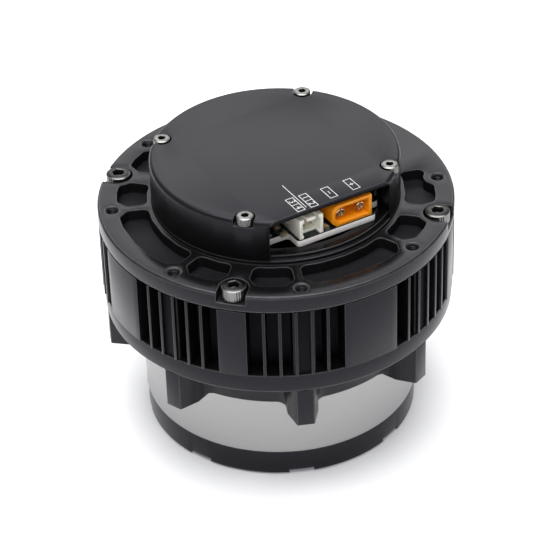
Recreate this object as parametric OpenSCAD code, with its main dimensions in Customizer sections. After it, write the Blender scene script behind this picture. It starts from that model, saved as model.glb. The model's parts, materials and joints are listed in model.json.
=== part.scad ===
// Robot joint actuator: outer-rotor motor, two planetary stages, driver board and dual encoders.
// Millimetres, +Z from the output face up to the rear cover, plug window towards -Y.

/* [Motor] */
// Radius of the stator over its tooth tips
stator_r = 30; // [28:0.5:32]
// Height of the stator's lamination stack
stack_h = 10; // [8:0.5:12]
// Number of stator teeth, each with its own coil
slot_count = 24; // [24]
// Radius of the stator's bore
stator_bore_r = 20.5; // [19.5:0.1:21]
// Thickness of the stator's back iron
yoke_t = 2.7; // [2.2:0.1:3]
// Width of each stator tooth
tooth_w = 3; // [2.4:0.1:3.4]
// Thickness of the tooth tips
tip_t = 1.2; // [0.8:0.1:1.4]
// Gap between neighbouring tooth tips
slot_mouth = 1.4; // [1:0.1:2]
// Height of the winding above and below the stack
coil_overhang = 2; // [1.4:0.1:2.6]
// Thickness of a coil beside its tooth
coil_t = 1.3; // [1:0.1:1.4]
// Gap between the stator and the magnets
air_gap = 0.5; // [0.4:0.05:0.8]
// Number of magnets in the rotor
magnet_count = 28; // [28]
// Thickness of each magnet
magnet_t = 2; // [1.5:0.1:2.5]
// Length of each magnet along the axis
magnet_l = 11; // [9:0.5:12]
// Space between neighbouring magnets
magnet_space = 0.8; // [0.4:0.1:1.4]
// Wall of the rotor bell outside the magnets
bell_wall = 1.4; // [1.1:0.1:2]
// Thickness of the rotor bell's end web
bell_web = 1.6; // [1.2:0.1:2]
// Radius of the hollow rotor shaft
shaft_r = 4; // [3.8:0.1:4.4]
// Radius of the rotor shaft's bore
shaft_bore_r = 2.9; // [2.85:0.05:3.1]
// Radius of the flange on the rotor shaft
shaft_flange_r = 13; // [12.6:0.1:14]
// Thickness of the flange on the rotor shaft
shaft_flange_t = 1.8; // [1.4:0.1:2.2]

/* [Gears] */
// Pressure angle of all gears in degrees
pressure_angle = 25; // [22:1:26]
// Module of the first, fast stage
module_1 = 0.6; // [0.56:0.01:0.64]
// Teeth of the first stage's sun
sun_1_teeth = 12; // [12]
// Teeth of the first stage's planets
planet_1_teeth = 36; // [36]
// Face width of the first stage's planets
gear_1_w = 4.5; // [4:0.1:5.5]
// Module of the second, slow stage
module_2 = 0.7; // [0.66:0.01:0.72]
// Teeth of the second stage's sun
sun_2_teeth = 14; // [14]
// Teeth of the second stage's planets
planet_2_teeth = 28; // [28]
// Face width of the second stage's planets
gear_2_w = 6.5; // [6:0.1:7.5]
// Planets in each stage
planet_count = 3; // [3]
// Width taken off each tooth flank for backlash
flank_play = 0.025; // [0.02:0.005:0.04]
// Radius of the pins that carry the planets
planet_pin_r = 2.5; // [2:0.1:3]
// Radius of the weight-saving holes in the planets
planet_hole_r = 1; // [0.8:0.1:1]
// Radius of the head that keeps a planet on its pin
pin_head_r = 3.6; // [3.2:0.1:4.2]
// Thickness of the planet pin's head
pin_head_t = 0.5; // [0.4:0.1:0.8]
// Thickness of the first stage's carrier plate
carrier_1_t = 2; // [1.6:0.1:2.6]
// Thickness of the output carrier's plate
carrier_2_t = 2.2; // [1.8:0.1:3]
// Wall of the ring gear's spigot outside the deepest teeth
spigot_wall = 3.65; // [3.4:0.05:4]
// Length of the ring gear's spigot inside the front flange
spigot_h = 10.1; // [9:0.1:11]
// Step from the spigot out to the ground outside of the ring gear
ring_step = 1.85; // [1.5:0.05:2.5]
// Wall of the ring gear outside the output bearing
ring_wall = 5.45; // [5.3:0.05:6]

/* [Bearings] */
// Output bearing: radius of its bore
output_bearing_bore_r = 20; // [19.5:0.5:20]
// Output bearing: radial thickness between its bore and its outside
output_bearing_section = 6; // [5.5:0.5:6]
// Output bearing: width
output_bearing_w = 7; // [6:0.5:8]
// Output bearing: thickness of its balls as a share of the space between bore and outside
output_ball_share = 0.5; // [0.45:0.05:0.55]
// Output bearing: number of balls
output_ball_count = 24; // [18:1:26]
// Rotor bearings: radial thickness between the shaft and their outside
rotor_bearing_section = 4; // [3.8:0.1:4.2]
// Rotor bearings: width
rotor_bearing_w = 5; // [4.5:0.1:5.4]
// Rotor bearings: thickness of their balls as a share of the space between bore and outside
rotor_ball_share = 0.6; // [0.5:0.05:0.6]
// Rotor bearings: number of balls
rotor_ball_count = 9; // [7:1:10]

/* [Output side] */
// How far the output face stands out of the fixed cover
face_proud = 0.3; // [0.2:0.05:0.6]
// Height of the fixed output cover
output_cover_h = 6.35; // [6:0.05:7]
// How much smaller the output cover is than the ring gear
output_cover_inset = 0.25; // [0.1:0.05:0.5]
// How much smaller the output flange is than the bearing round it
output_flange_inset = 1.9; // [1.7:0.1:2.3]
// Gap between the turning output flange and the fixed cover
output_gap = 0.4; // [0.3:0.05:0.6]
// Overlap of the clamping shoulders over the output bearing's inner race
race_clamp = 1.6; // [1.2:0.1:1.8]
// Radius of the circle of the load's tapped holes
load_circle_r = 19; // [18.5:0.1:19.5]
// Number of tapped holes for the load
load_hole_count = 8; // [4:4:8]
// Radius of all tapped holes for the load and the mounting, tapping drill for M3
load_hole_r = 1.25; // [1.25:0.05:1.65]
// Countersink at the mouth of each tapped hole
hole_edge = 0.35; // [0.2:0.05:0.5]
// Radius of the two dowel holes in the output flange
dowel_hole_r = 1.5; // [1:0.1:1.5]
// Depth of the dowel holes
dowel_depth = 4; // [3:0.5:5]
// Wall between the dowel holes and the output flange's edge
dowel_wall = 1.4; // [1.2:0.1:1.8]
// Distance from the output cover's outside in to its screws
cover_screw_inset = 3; // [2.9:0.05:3.2]
// Radius of the centring recess in the output face
pilot_r = 8; // [7:0.1:9]
// Depth of the centring recess
pilot_depth = 2; // [1:0.1:3]
// Radius of the circle of the output flange's own screws
output_screw_circle_r = 13.5; // [13:0.1:14]
// Number of screws that hold the output flange
output_screw_count = 6; // [6]
// Number of screws, notches, lugs and mounting holes round the body
body_hole_count = 8; // [8]
// Width of the open notches in the output cover
notch_w = 5.7; // [5.4:0.1:6.5]
// Depth of the open notches in the output cover
notch_depth = 1; // [0.6:0.1:1.4]

/* [Front flange] */
// Thickness of the web between motor and gears
web_t = 3.1; // [2.9:0.1:3.6]
// Thickness of the front flange's rim
rim_t = 4.5; // [4:0.1:5]
// How much smaller the rim is than the body
rim_inset = 0.4; // [0.2:0.1:0.8]
// Wall of the neck round the ring gear's spigot
neck_wall = 2.2; // [1.8:0.1:2.4]
// How far the lugs reach below the neck
lug_drop = 0.9; // [0.5:0.1:1.4]
// Width of a lug's outer face
lug_tip_w = 3.9; // [3.4:0.1:4.4]
// Width of a lug where its taper ends
lug_base_w = 6.9; // [6.4:0.1:7.4]
// Length of a lug's taper
lug_taper = 4.5; // [4:0.1:5]
// Radius of the fillet between lug and neck
lug_fillet_r = 3; // [2:0.1:3.4]
// Depth of the tapped holes in the lugs
lug_hole_depth = 8; // [6:0.5:9]

/* [Heat sink] */
// Gap between the rotor and the heat sink
rotor_gap = 0.5; // [0.4:0.05:0.8]
// Wall of the heat sink behind its slots
sink_wall = 1.6; // [1.4:0.1:2]
// Depth of the slots between the fins
fin_depth = 4; // [3.6:0.1:4.4]
// Angle from one fin to the next in degrees
fin_pitch = 5; // [5]
// Thickness of a fin as an angle in degrees
fin_angle = 1; // [0.8:0.1:1.4]
// Number of fins in each window
fin_count = 5; // [5]
// Half angle of the solid pad at each long screw in degrees
screw_pad_angle = 4.6; // [4:0.1:5.5]
// Half angle of the solid pad between two windows in degrees
wide_pad_angle = 9.6; // [9:0.1:10.5]
// Depth of the slot in front of each mounting hole
boss_slot_depth = 0.8; // [0.5:0.1:1]

/* [Rear flange] */
// Thickness of the rear flange
rear_flange_t = 4.2; // [4:0.1:5]
// Chamfer on the rear flange's edge
rear_edge = 0.4; // [0.2:0.1:0.8]
// Distance from the body's edge in to the screw circle
screw_inset = 3.2; // [3:0.1:3.6]
// Depth of the weight-saving pockets
pocket_depth = 2.7; // [2:0.1:2.9]
// Distance from the body's edge in to the pockets
pocket_rim = 4.3; // [4:0.1:5]
// Distance from the hub out to the pockets
pocket_inset = 1.1; // [0.8:0.1:1.6]
// Rounding of the pockets' corners
pocket_round = 1.5; // [1:0.1:1.8]
// Rounding where the walls round holes and screws meet the ribs
pocket_blend = 0.7; // [0.5:0.1:0.8]
// Wall left round each mounting hole
hole_boss_wall = 1.7; // [1.4:0.1:2]
// Wall left round each counterbore
screw_boss_wall = 1.3; // [1:0.1:1.8]
// Width of the rib from each mounting hole to the hub
hole_rib_w = 2; // [1.4:0.1:2.6]
// Width of the rib from each long screw to the hub
screw_rib_w = 5; // [4:0.1:6]
// Half angle of the plain sector on the +X side in degrees
plain_angle = 16; // [14:1:18]
// Height of the hub step that the rear cover stands on
hub_h = 0.9; // [0.6:0.1:1.4]
// Height of the hub's spigot inside the rear cover
hub_spigot_h = 1; // [0.8:0.1:1.4]
// Wall of the rear cover's lip round that spigot
cover_lip = 0.75; // [0.6:0.05:1]
// Thickness of the flange's floor under the driver board
floor_t = 2.5; // [2.2:0.1:2.8]

/* [Rear cover] */
// Radius of the rear cover
cover_r = 27.9; // [27.5:0.1:28.5]
// Height of the rear cover above the hub step
cover_h = 10.1; // [9.8:0.1:12]
// Wall of the rear cover
cover_wall = 2.4; // [2:0.1:2.6]
// Thickness of the rear cover's top
cover_top_t = 1.2; // [1:0.1:1.5]
// Rounding of the rear cover's top edge
cover_round = 1.1; // [0.6:0.1:1.5]
// Depth of the flat with the plug window
flat_depth = 4.4; // [4:0.1:4.6]
// How far the plug window runs past the flat on each side
window_overrun = 0.2; // [0.15:0.05:0.2]
// How far the plug window reaches in from the flat
window_depth = 8.5; // [7:0.5:10]
// Extra radius of the four screw columns beyond the screw hole
column_wall = 1.9; // [1.6:0.1:2]
// How far the rear cover's screw heads stand out
cover_screw_proud = 0.35; // [0:0.05:0.6]

/* [Driver board] */
// Thickness of the driver board
board_t = 1.5; // [1:0.1:1.6]
// Clearance round the driver board
board_gap = 0.2; // [0.1:0.05:0.4]
// How far the board's tongue stays behind the flat
tongue_inset = 0.1; // [0:0.05:0.4]
// Left end of the board's tongue
tongue_left = -8.3; // [-9:0.1:-8]
// Right end of the board's tongue
tongue_right = 11.7; // [11.4:0.1:12.4]
// Depth of the board's tongue
tongue_depth = 4.2; // [3:0.1:5]
// Number of screws that hold the driver board
board_screw_count = 3; // [3]
// Distance from the driver board's edge in to its screws
board_screw_inset = 4.8; // [4:0.1:5.5]
// Radius of the standoffs under the driver board
standoff_r = 2.2; // [1.9:0.1:2.6]
// Radius of the three phase leads
lead_r = 0.8; // [0.6:0.05:0.9]
// Angle between the phase leads in degrees
lead_angle = 15; // [15]
// Width of the square controller chip
controller_w = 8; // [6:0.5:9]
// Width of each power transistor
transistor_w = 6; // [5:0.1:6.5]
// Depth of each power transistor
transistor_d = 5; // [4:0.1:5.5]
// Space between the power transistors
transistor_gap = 3; // [1.5:0.1:3.5]
// Clearance between the power transistors and a board screw's head
transistor_clearance = 0.1; // [0.1:0.05:0.3]
// Radius of the can capacitors
capacitor_r = 3; // [2:0.1:3.2]
// Height of the can capacitors
capacitor_h = 5.2; // [4:0.1:5.6]
// Distance of the can capacitors from the middle plane
capacitor_x = 15.5; // [14.5:0.1:16]
// Power connector: width of its body
power_w = 10.15; // [9.8:0.05:10.4]
// Power connector: height of its body
power_h = 5.4; // [5:0.1:5.8]
// Power connector: depth of its body
power_depth = 10; // [8:0.1:11]
// Power connector: depth of its socket
power_socket = 6.5; // [5:0.1:7]
// Power connector: wall round its socket
power_wall = 0.85; // [0.7:0.05:1]
// Power connector: chamfer of its keyed side
power_chamfer = 1.1; // [0.8:0.1:1.4]
// Power connector: distance between its pins
power_pitch = 5; // [4.8:0.1:5]
// Power connector: radius of its pins
power_pin_r = 1; // [0.8:0.05:1.1]
// Power connector: place of its centre across the window
power_x = 5.68; // [5.5:0.01:5.9]
// Signal connector: width of its body
signal_w = 5.9; // [5.6:0.1:6]
// Signal connector: height of its body
signal_h = 4.8; // [4.4:0.1:5.2]
// Signal connector: depth of its body
signal_depth = 7.6; // [6:0.1:8]
// Signal connector: wall of its body
signal_wall = 0.75; // [0.6:0.05:0.9]
// Signal connector: distance between its pins
signal_pitch = 2; // [1.8:0.1:2]
// Signal connector: width of its square pins
signal_pin_w = 0.6; // [0.5:0.05:0.7]
// Signal connector: place of its centre across the window
signal_x = -4.65; // [-5:0.05:-4.3]

/* [Encoders] */
// Radius of the rod that carries the output's rotation to the rear
rod_r = 1.5; // [1.2:0.1:1.5]
// Radius of the bore of both suns round that rod
sun_bore_r = 1.9; // [1.8:0.05:2]
// Radius of the output encoder's magnet
rod_magnet_r = 2.4; // [2:0.1:2.5]
// Thickness of the encoder magnets
encoder_magnet_t = 1.2; // [0.8:0.1:1.4]
// Outer radius of the rotor encoder's ring magnet
ring_magnet_r = 7; // [6.5:0.1:7.5]
// Thickness of the encoder chips
chip_t = 1; // [0.8:0.1:1]

/* [Screws] */
// M3 screw: shank radius, head radius, head height and key width
m3 = [1.5, 2.75, 3, 2.5];
// M2.5 screw: shank radius, head radius, head height and key width
m25 = [1.25, 2.25, 2.5, 2];
// M2 screw: shank radius, head radius, head height and key width
m2 = [1, 1.9, 2, 1.5];
// Length of the four long body screws
body_screw_l = 22; // [21.5:0.5:22.5]
// Length of the output cover's screws
output_cover_screw_l = 8; // [6:0.5:9]
// Length of the output flange's screws
output_screw_l = 8; // [6:0.5:8.5]
// Length of the ring gear's screws
ring_screw_l = 6; // [4:0.5:7]
// Number of screws that hold the ring gear
ring_screw_count = 6; // [4:1:8]
// Length of the rear cover's screws
cover_screw_l = 12; // [10:0.5:12.5]
// Length of the driver board's screws
board_screw_l = 4.5; // [3:0.5:4.5]
// Length of the rotor bell's screws
bell_screw_l = 4; // [3:0.5:4.5]

/* [Clearances] */
// Radial clearance of located parts that don't turn
fit = 0.02; // [0.01:0.01:0.04]
// Radial clearance of a planet on its pin
pin_play = 0.03; // [0.02:0.01:0.05]
// Clearance between balls and races
ball_play = 0.04; // [0.03:0.01:0.06]
// Gap beside turning gears and carriers
side_gap = 0.25; // [0.2:0.05:0.4]
// Gap between a planet and its pin's head
head_gap = 0.1; // [0.05:0.05:0.2]
// Gap between the rotor and the fixed parts below it
rotor_floor_gap = 0.4; // [0.3:0.05:0.6]
// Gap between the windings and the rotor's web
coil_floor_gap = 0.8; // [0.6:0.1:1.2]
// Gap between the windings and the rear flange
coil_top_gap = 0.2; // [0.2:0.1:0.6]
// Radial gap round a turning hub or shoulder
hub_gap = 0.5; // [0.4:0.05:0.7]
// Clearance of through holes round their screws
hole_play = 0.15; // [0.1:0.05:0.25]
// Clearance of counterbores round their screw heads
bore_play = 0.35; // [0.25:0.05:0.5]

/* [Hidden] */
$fn = 96;
eps = 0.01;
black_metal = [0.07, 0.07, 0.08];
bare_metal = [0.72, 0.72, 0.72];
steel = [0.62, 0.61, 0.59];
gear_steel = [0.5, 0.5, 0.52];
copper = [0.75, 0.4, 0.2];
screw_steel = [0.78, 0.77, 0.74];
chip_black = [0.1, 0.1, 0.11];

// Teeth and radii of the gears
ring_1_teeth = sun_1_teeth + 2 * planet_1_teeth;
ring_2_teeth = sun_2_teeth + 2 * planet_2_teeth;
orbit_1_r = module_1 * (sun_1_teeth + planet_1_teeth) / 2;
orbit_2_r = module_2 * (sun_2_teeth + planet_2_teeth) / 2;
ring_1_root_r = module_1 * (ring_1_teeth / 2 + 1.25);
ring_1_tip_r = module_1 * (ring_1_teeth / 2 - 1);
ring_2_root_r = module_2 * (ring_2_teeth / 2 + 1.25);
ring_2_tip_r = module_2 * (ring_2_teeth / 2 - 1);
flank_steps = 3;

// Heights, from the output face up
cover_z = face_proud;
bearing_z = cover_z + output_cover_h;
bearing_top = bearing_z + output_bearing_w;
shoulder_h = 0.4;
carrier_2_z = bearing_top + shoulder_h;
planet_2_z = carrier_2_z + carrier_2_t + side_gap;
carrier_1_z = planet_2_z + gear_2_w + head_gap + pin_head_t + side_gap;
planet_1_z = carrier_1_z + carrier_1_t + side_gap;
web_z = planet_1_z + gear_1_w + head_gap + pin_head_t + side_gap;
sink_z = web_z + web_t;
neck_z = web_z - spigot_h;
lug_z = neck_z - lug_drop;
rim_z = sink_z - rim_t;
bell_z = sink_z + rotor_floor_gap;
coil_z = bell_z + bell_web + coil_floor_gap;
stack_z = coil_z + coil_overhang;
rear_z = stack_z + stack_h + coil_overhang + coil_top_gap;
sink_h = rear_z - sink_z;
rear_top = rear_z + rear_flange_t;
hub_top = rear_top + hub_h;
floor_z = rear_z + floor_t;
board_z = hub_top + hub_spigot_h;
board_top = board_z + board_t;
top_z = hub_top + cover_h;

// Radii, from the motor out
magnet_r = stator_r + air_gap;
bell_bore_r = magnet_r + magnet_t;
bell_r = bell_bore_r + bell_wall;
sink_bore_r = bell_r + rotor_gap;
slot_floor_r = sink_bore_r + sink_wall;
body_r = slot_floor_r + fin_depth;
screw_circle_r = body_r - screw_inset;
spigot_r = max(ring_1_root_r, ring_2_root_r) + spigot_wall;
neck_r = spigot_r + neck_wall;
output_bearing_outer_r = output_bearing_bore_r + output_bearing_section;
ring_r = max(spigot_r + ring_step, output_bearing_outer_r + ring_wall);
output_cover_r = ring_r - output_cover_inset;
output_cover_screw_r = output_cover_r - cover_screw_inset;
ring_screw_r = (max(ring_1_root_r, ring_2_root_r) + spigot_r) / 2;
coil_r0 = stator_bore_r + yoke_t + 0.4;
coil_r1 = stator_r - tip_t - 0.3;
race_step = 0.45;
output_ball_r = output_ball_share * output_bearing_section / 2;
rotor_bearing_outer_r = shaft_r + rotor_bearing_section;
rotor_ball_r = rotor_ball_share * rotor_bearing_section / 2;
output_flange_r = output_bearing_outer_r - output_flange_inset;
dowel_circle_r = output_flange_r - dowel_hole_r - dowel_wall;
clamp_r = output_bearing_bore_r + race_clamp;

// Front bearing, in the web's hub, and rear bearing, in the rear flange
seat_lip = 0.9;
front_bearing_z = web_z + seat_lip;
front_hub_top = front_bearing_z + rotor_bearing_w;
bearing_wall = 1.7;
bearing_hub_r = rotor_bearing_outer_r + bearing_wall;
shaft_flange_z = front_hub_top + hub_gap;
rear_bearing_z = floor_z - 0.2 - rotor_bearing_w;

// Rear cover, its screws and the hub under it
hub_spigot_r = cover_r - cover_lip - fit;
cover_bore_r = cover_r - cover_wall;
cover_screw_r = cover_r - m2[1];
cover_boss_r = m2[0] + column_wall;
cover_seat_z = top_z + cover_screw_proud - m2[2];
window_y = cover_r - flat_depth;
window_x = sqrt(cover_r * cover_r - window_y * window_y) + window_overrun;
hub_recess_r = cover_bore_r - 1.3;

// Driver board and what it carries
board_r = cover_bore_r - board_gap;
board_screw_circle_r = board_r - board_screw_inset;
lead_hole_r = lead_r + 0.3;
lead_circle_r = board_r - lead_hole_r;
tongue_y = -window_y + tongue_inset;
connector_y = tongue_y + 0.3;
power_z = board_top + power_h / 2;
signal_z = board_top + signal_h / 2;

// Angles: long screws at 45 degrees, mounting holes and lugs between them
long_screw_count = 4;
long_screw_angle = 45;
hole_angle = 180 / body_hole_count;

function polar(r, a) = [r * cos(a), r * sin(a)];

// Countersink at z = 0, open upwards, at the mouth of a tapped hole
module mouth() {
    rotate_extrude() polygon([
        [0, -load_hole_r - hole_edge], [load_hole_r + hole_edge + eps, eps], [0, eps]
    ]);
}

// Involute of an angle, in degrees
function involute(a) = tan(a) * 180 / PI - a;

// Half the angle of a tooth at radius r
function tooth_half(teeth, mod, r, thin) =
    let (pitch_r = mod * teeth / 2, base_r = pitch_r * cos(pressure_angle))
    90 / teeth + involute(pressure_angle) - involute(acos(min(1, base_r / r)))
        - thin / pitch_r * 180 / PI;

// Outline of a gear from its lowest to its highest radius; a negative thin widens it
function gear_outline(teeth, mod, r_low, r_high, thin) =
    let (
        base_r = mod * teeth / 2 * cos(pressure_angle),
        start_r = max(base_r, r_low),
        flank = [for (k = [0:flank_steps]) start_r + (r_high - start_r) * k / flank_steps],
        radii = r_low < base_r ? concat([r_low], flank) : flank,
        last = len(radii) - 1
    )
    [for (i = [0:teeth - 1]) each concat(
        [for (r = radii) polar(r, i * 360 / teeth - tooth_half(teeth, mod, r, thin))],
        [for (k = [last:-1:0])
            polar(radii[k], i * 360 / teeth + tooth_half(teeth, mod, radii[k], thin))]
    )];

module ring(r_in, r_out, h) {
    difference() {
        cylinder(r = r_out, h = h);
        translate([0, 0, -eps]) cylinder(r = r_in, h = h + 2 * eps);
    }
}

module around(count, first = 0) {
    for (i = [0:count - 1]) rotate(first + i * 360 / count) children();
}

module chamfered_disc(r, h, low, high) {
    rotate_extrude() polygon([
        [0, 0], [r - low, 0], [r, low], [r, h - high], [r - high, h], [0, h]
    ]);
}

// Wedge from the axis outwards, between two angles
module wedge(r, a0, a1, h) {
    linear_extrude(h) polygon([[0, 0], polar(r, a0), polar(r, (a0 + a1) / 2), polar(r, a1)]);
}

// Socket head cap screw, seated at z = 0 with its head up
module cap_screw(size, length) {
    shank_r = size[0];
    head_r = size[1];
    head_h = size[2];
    edge = 0.1 * head_h;
    difference() {
        rotate_extrude() polygon([
            [0, -length], [shank_r - edge, -length], [shank_r, edge - length], [shank_r, 0],
            [head_r, 0], [head_r, head_h - edge], [head_r - edge, head_h], [0, head_h]
        ]);
        translate([0, 0, head_h / 2]) cylinder(r = size[3] / sqrt(3), h = head_h, $fn = 6);
    }
}

module external_gear(teeth, mod, h) {
    pitch_r = mod * teeth / 2;
    linear_extrude(h)
        polygon(gear_outline(teeth, mod, pitch_r - 1.25 * mod, pitch_r + mod, flank_play));
}

module ring_teeth(teeth, mod, h) {
    pitch_r = mod * teeth / 2;
    linear_extrude(h)
        polygon(gear_outline(teeth, mod, pitch_r - mod, pitch_r + 1.25 * mod, -flank_play));
}

// Planet in its place: it rolls with the carrier, so it meshes at every azimuth
module planet_gear(index, orbit_r, ring_teeth_count, teeth, mod, h, z) {
    azimuth = index * 360 / planet_count;
    web_r = (planet_pin_r + mod * teeth / 2) / 2;
    translate([orbit_r * cos(azimuth), orbit_r * sin(azimuth), z])
        rotate(azimuth * (1 - ring_teeth_count / teeth))
            difference() {
                external_gear(teeth, mod, h);
                translate([0, 0, -eps]) cylinder(r = planet_pin_r + pin_play, h = h + 2 * eps);
                around(6, 30) translate([web_r, 0, -eps])
                    cylinder(r = planet_hole_r, h = h + 2 * eps);
            }
}

// Pin pressed into a carrier plate, with the head that keeps its planet
module planet_pins(orbit_r, plate_z, head_z) {
    around(planet_count) translate([orbit_r, 0, 0]) {
        translate([0, 0, plate_z]) cylinder(r = planet_pin_r, h = head_z - plate_z);
        translate([0, 0, head_z]) cylinder(r = pin_head_r, h = pin_head_t);
    }
}

// Bearing races round the groove that the balls run in, and the balls in their crown cage
module race(r_in, r_out, w, pitch_r, ball_r) {
    difference() {
        ring(r_in, r_out, w);
        translate([0, 0, w / 2]) rotate_extrude() translate([pitch_r, 0]) circle(ball_r + ball_play);
    }
}

module outer_race(bore_r, outer_r, w, ball_r) {
    pitch_r = (bore_r + outer_r) / 2;
    race(pitch_r + race_step * ball_r, outer_r, w, pitch_r, ball_r);
}

module inner_race(bore_r, outer_r, w, ball_r) {
    pitch_r = (bore_r + outer_r) / 2;
    race(bore_r, pitch_r - race_step * ball_r, w, pitch_r, ball_r);
}

module caged_balls(bore_r, outer_r, w, ball_r, count) {
    pitch_r = (bore_r + outer_r) / 2;
    translate([0, 0, w / 2]) {
        around(count) translate([pitch_r, 0, 0]) sphere(ball_r);
        difference() {
            translate([0, 0, -1.5 * ball_r])
                ring(pitch_r - 0.25 * ball_r, pitch_r + 0.25 * ball_r, 1.8 * ball_r);
            around(count) translate([pitch_r, 0, 0]) sphere(ball_r + ball_play);
        }
    }
}

module output_flange() color(black_metal) {
    flange_top = bearing_z - 0.45;
    head_seat = m3[2] + 0.2;
    difference() {
        union() {
            chamfered_disc(output_flange_r, flange_top, 0.4, 0.2);
            cylinder(r = clamp_r, h = bearing_z);
        }
        translate([0, 0, -eps]) cylinder(r = pilot_r, h = pilot_depth + eps);
        around(load_hole_count, hole_angle) translate([load_circle_r, 0, -eps])
            cylinder(r = load_hole_r, h = bearing_z + 2 * eps);
        around(2) translate([dowel_circle_r, 0, -eps])
            cylinder(r = dowel_hole_r, h = dowel_depth + eps);
        around(output_screw_count, 30) translate([output_screw_circle_r, 0, 0]) {
            translate([0, 0, -eps]) cylinder(r = m3[0] + hole_play, h = bearing_z + 2 * eps);
            translate([0, 0, -eps]) cylinder(r = m3[1] + bore_play, h = head_seat + eps);
        }
    }
}

module output_flange_screws() color(screw_steel) {
    around(output_screw_count, 30) translate([output_screw_circle_r, 0, m3[2] + 0.2])
        rotate([180, 0, 0]) cap_screw(m3, output_screw_l);
}

module output_carrier() color(gear_steel) {
    screw_top = m3[2] + 0.2 + output_screw_l;
    difference() {
        union() {
            translate([0, 0, bearing_z])
                cylinder(r = output_bearing_bore_r - fit, h = carrier_2_z - bearing_z);
            translate([0, 0, bearing_top])
                cylinder(r = clamp_r, h = shoulder_h);
            translate([0, 0, carrier_2_z])
                cylinder(r = ring_2_tip_r - 0.9, h = carrier_2_t);
        }
        translate([0, 0, bearing_z - eps])
            cylinder(r = rod_r + fit, h = carrier_2_z + carrier_2_t - bearing_z + 2 * eps);
        around(output_screw_count, 30) translate([output_screw_circle_r, 0, bearing_z - eps])
            cylinder(r = m3[0] + fit, h = screw_top + 0.3 - bearing_z);
        around(planet_count) translate([orbit_2_r, 0, carrier_2_z - 3])
            cylinder(r = planet_pin_r + fit, h = carrier_2_t + 3 + eps);
    }
}

module output_carrier_pins() color(bare_metal)
    planet_pins(orbit_2_r, carrier_2_z - 3, planet_2_z + gear_2_w + head_gap);

module output_encoder_rod() color(steel) {
    translate([0, 0, bearing_z])
        cylinder(r = rod_r, h = floor_z + 1.9 - encoder_magnet_t - bearing_z);
}

module output_encoder_magnet() color(bare_metal) {
    translate([0, 0, floor_z + 1.9 - encoder_magnet_t])
        cylinder(r = rod_magnet_r, h = encoder_magnet_t);
}

module output_bearing_inner_race() color(steel) translate([0, 0, bearing_z])
    inner_race(output_bearing_bore_r, output_bearing_outer_r, output_bearing_w, output_ball_r);

module output_bearing_balls() color(bare_metal) translate([0, 0, bearing_z])
    caged_balls(output_bearing_bore_r, output_bearing_outer_r, output_bearing_w,
        output_ball_r, output_ball_count);

module output_bearing_outer_race() color(steel) translate([0, 0, bearing_z])
    outer_race(output_bearing_bore_r, output_bearing_outer_r, output_bearing_w, output_ball_r);

module output_cover() color(black_metal) {
    seat = notch_depth + m25[2] - 0.5;
    difference() {
        translate([0, 0, cover_z]) chamfered_disc(output_cover_r, output_cover_h, 0.3, 0.2);
        cylinder(r = output_flange_r + output_gap, h = bearing_z + eps);
        around(body_hole_count, hole_angle) translate([output_cover_screw_r, 0, cover_z]) {
            translate([-notch_w / 2, -notch_w / 2, -eps])
                cube([notch_w / 2 + ring_r, notch_w, notch_depth + eps]);
            translate([0, 0, -eps]) cylinder(r = m25[1] + bore_play, h = seat + eps);
            cylinder(r = m25[0] + hole_play, h = output_cover_h + eps);
        }
    }
}

module output_cover_screws() color(screw_steel) {
    seat = notch_depth + m25[2] - 0.5;
    around(body_hole_count, hole_angle) translate([output_cover_screw_r, 0, cover_z + seat])
        rotate([180, 0, 0]) cap_screw(m25, output_cover_screw_l);
}

module ring_gear() color(steel) {
    split_z = carrier_1_z - side_gap;
    screw_end = cover_z + notch_depth + m25[2] - 0.5 + output_cover_screw_l;
    difference() {
        union() {
            translate([0, 0, bearing_z]) chamfered_disc(ring_r, neck_z - bearing_z, 0.2, 0.2);
            translate([0, 0, neck_z - eps]) cylinder(r = spigot_r, h = spigot_h + eps);
        }
        translate([0, 0, bearing_z - eps])
            cylinder(r = output_bearing_outer_r + fit, h = output_bearing_w + eps);
        translate([0, 0, bearing_top - eps])
            cylinder(r = ring_2_tip_r + 0.6, h = shoulder_h + 2 * eps);
        translate([0, 0, carrier_2_z]) ring_teeth(ring_2_teeth, module_2, split_z - carrier_2_z + eps);
        translate([0, 0, split_z]) ring_teeth(ring_1_teeth, module_1, web_z - split_z + eps);
        around(body_hole_count, hole_angle) translate([output_cover_screw_r, 0, bearing_z - eps])
            cylinder(r = m25[0] + fit, h = screw_end + 0.5 - bearing_z);
        around(ring_screw_count) translate([ring_screw_r, 0, web_z - ring_screw_l])
            cylinder(r = m2[0] + fit, h = ring_screw_l + eps);
    }
}

module ring_gear_screws() color(screw_steel) {
    around(ring_screw_count) translate([ring_screw_r, 0, sink_z - m2[2] - 0.1])
        cap_screw(m2, ring_screw_l);
}

module planet_gear_2(index) color(gear_steel)
    planet_gear(index, orbit_2_r, ring_2_teeth, planet_2_teeth, module_2, gear_2_w, planet_2_z);

module sun_gear_2() color(gear_steel) {
    difference() {
        union() {
            translate([0, 0, planet_2_z]) rotate(180 / sun_2_teeth)
                external_gear(sun_2_teeth, module_2, carrier_1_z - planet_2_z);
            translate([0, 0, carrier_1_z - eps])
                cylinder(r = sun_bore_r + 1.9, h = carrier_1_t + eps);
        }
        translate([0, 0, planet_2_z - eps])
            cylinder(r = sun_bore_r, h = carrier_1_z + carrier_1_t - planet_2_z + 2 * eps);
    }
}

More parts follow.
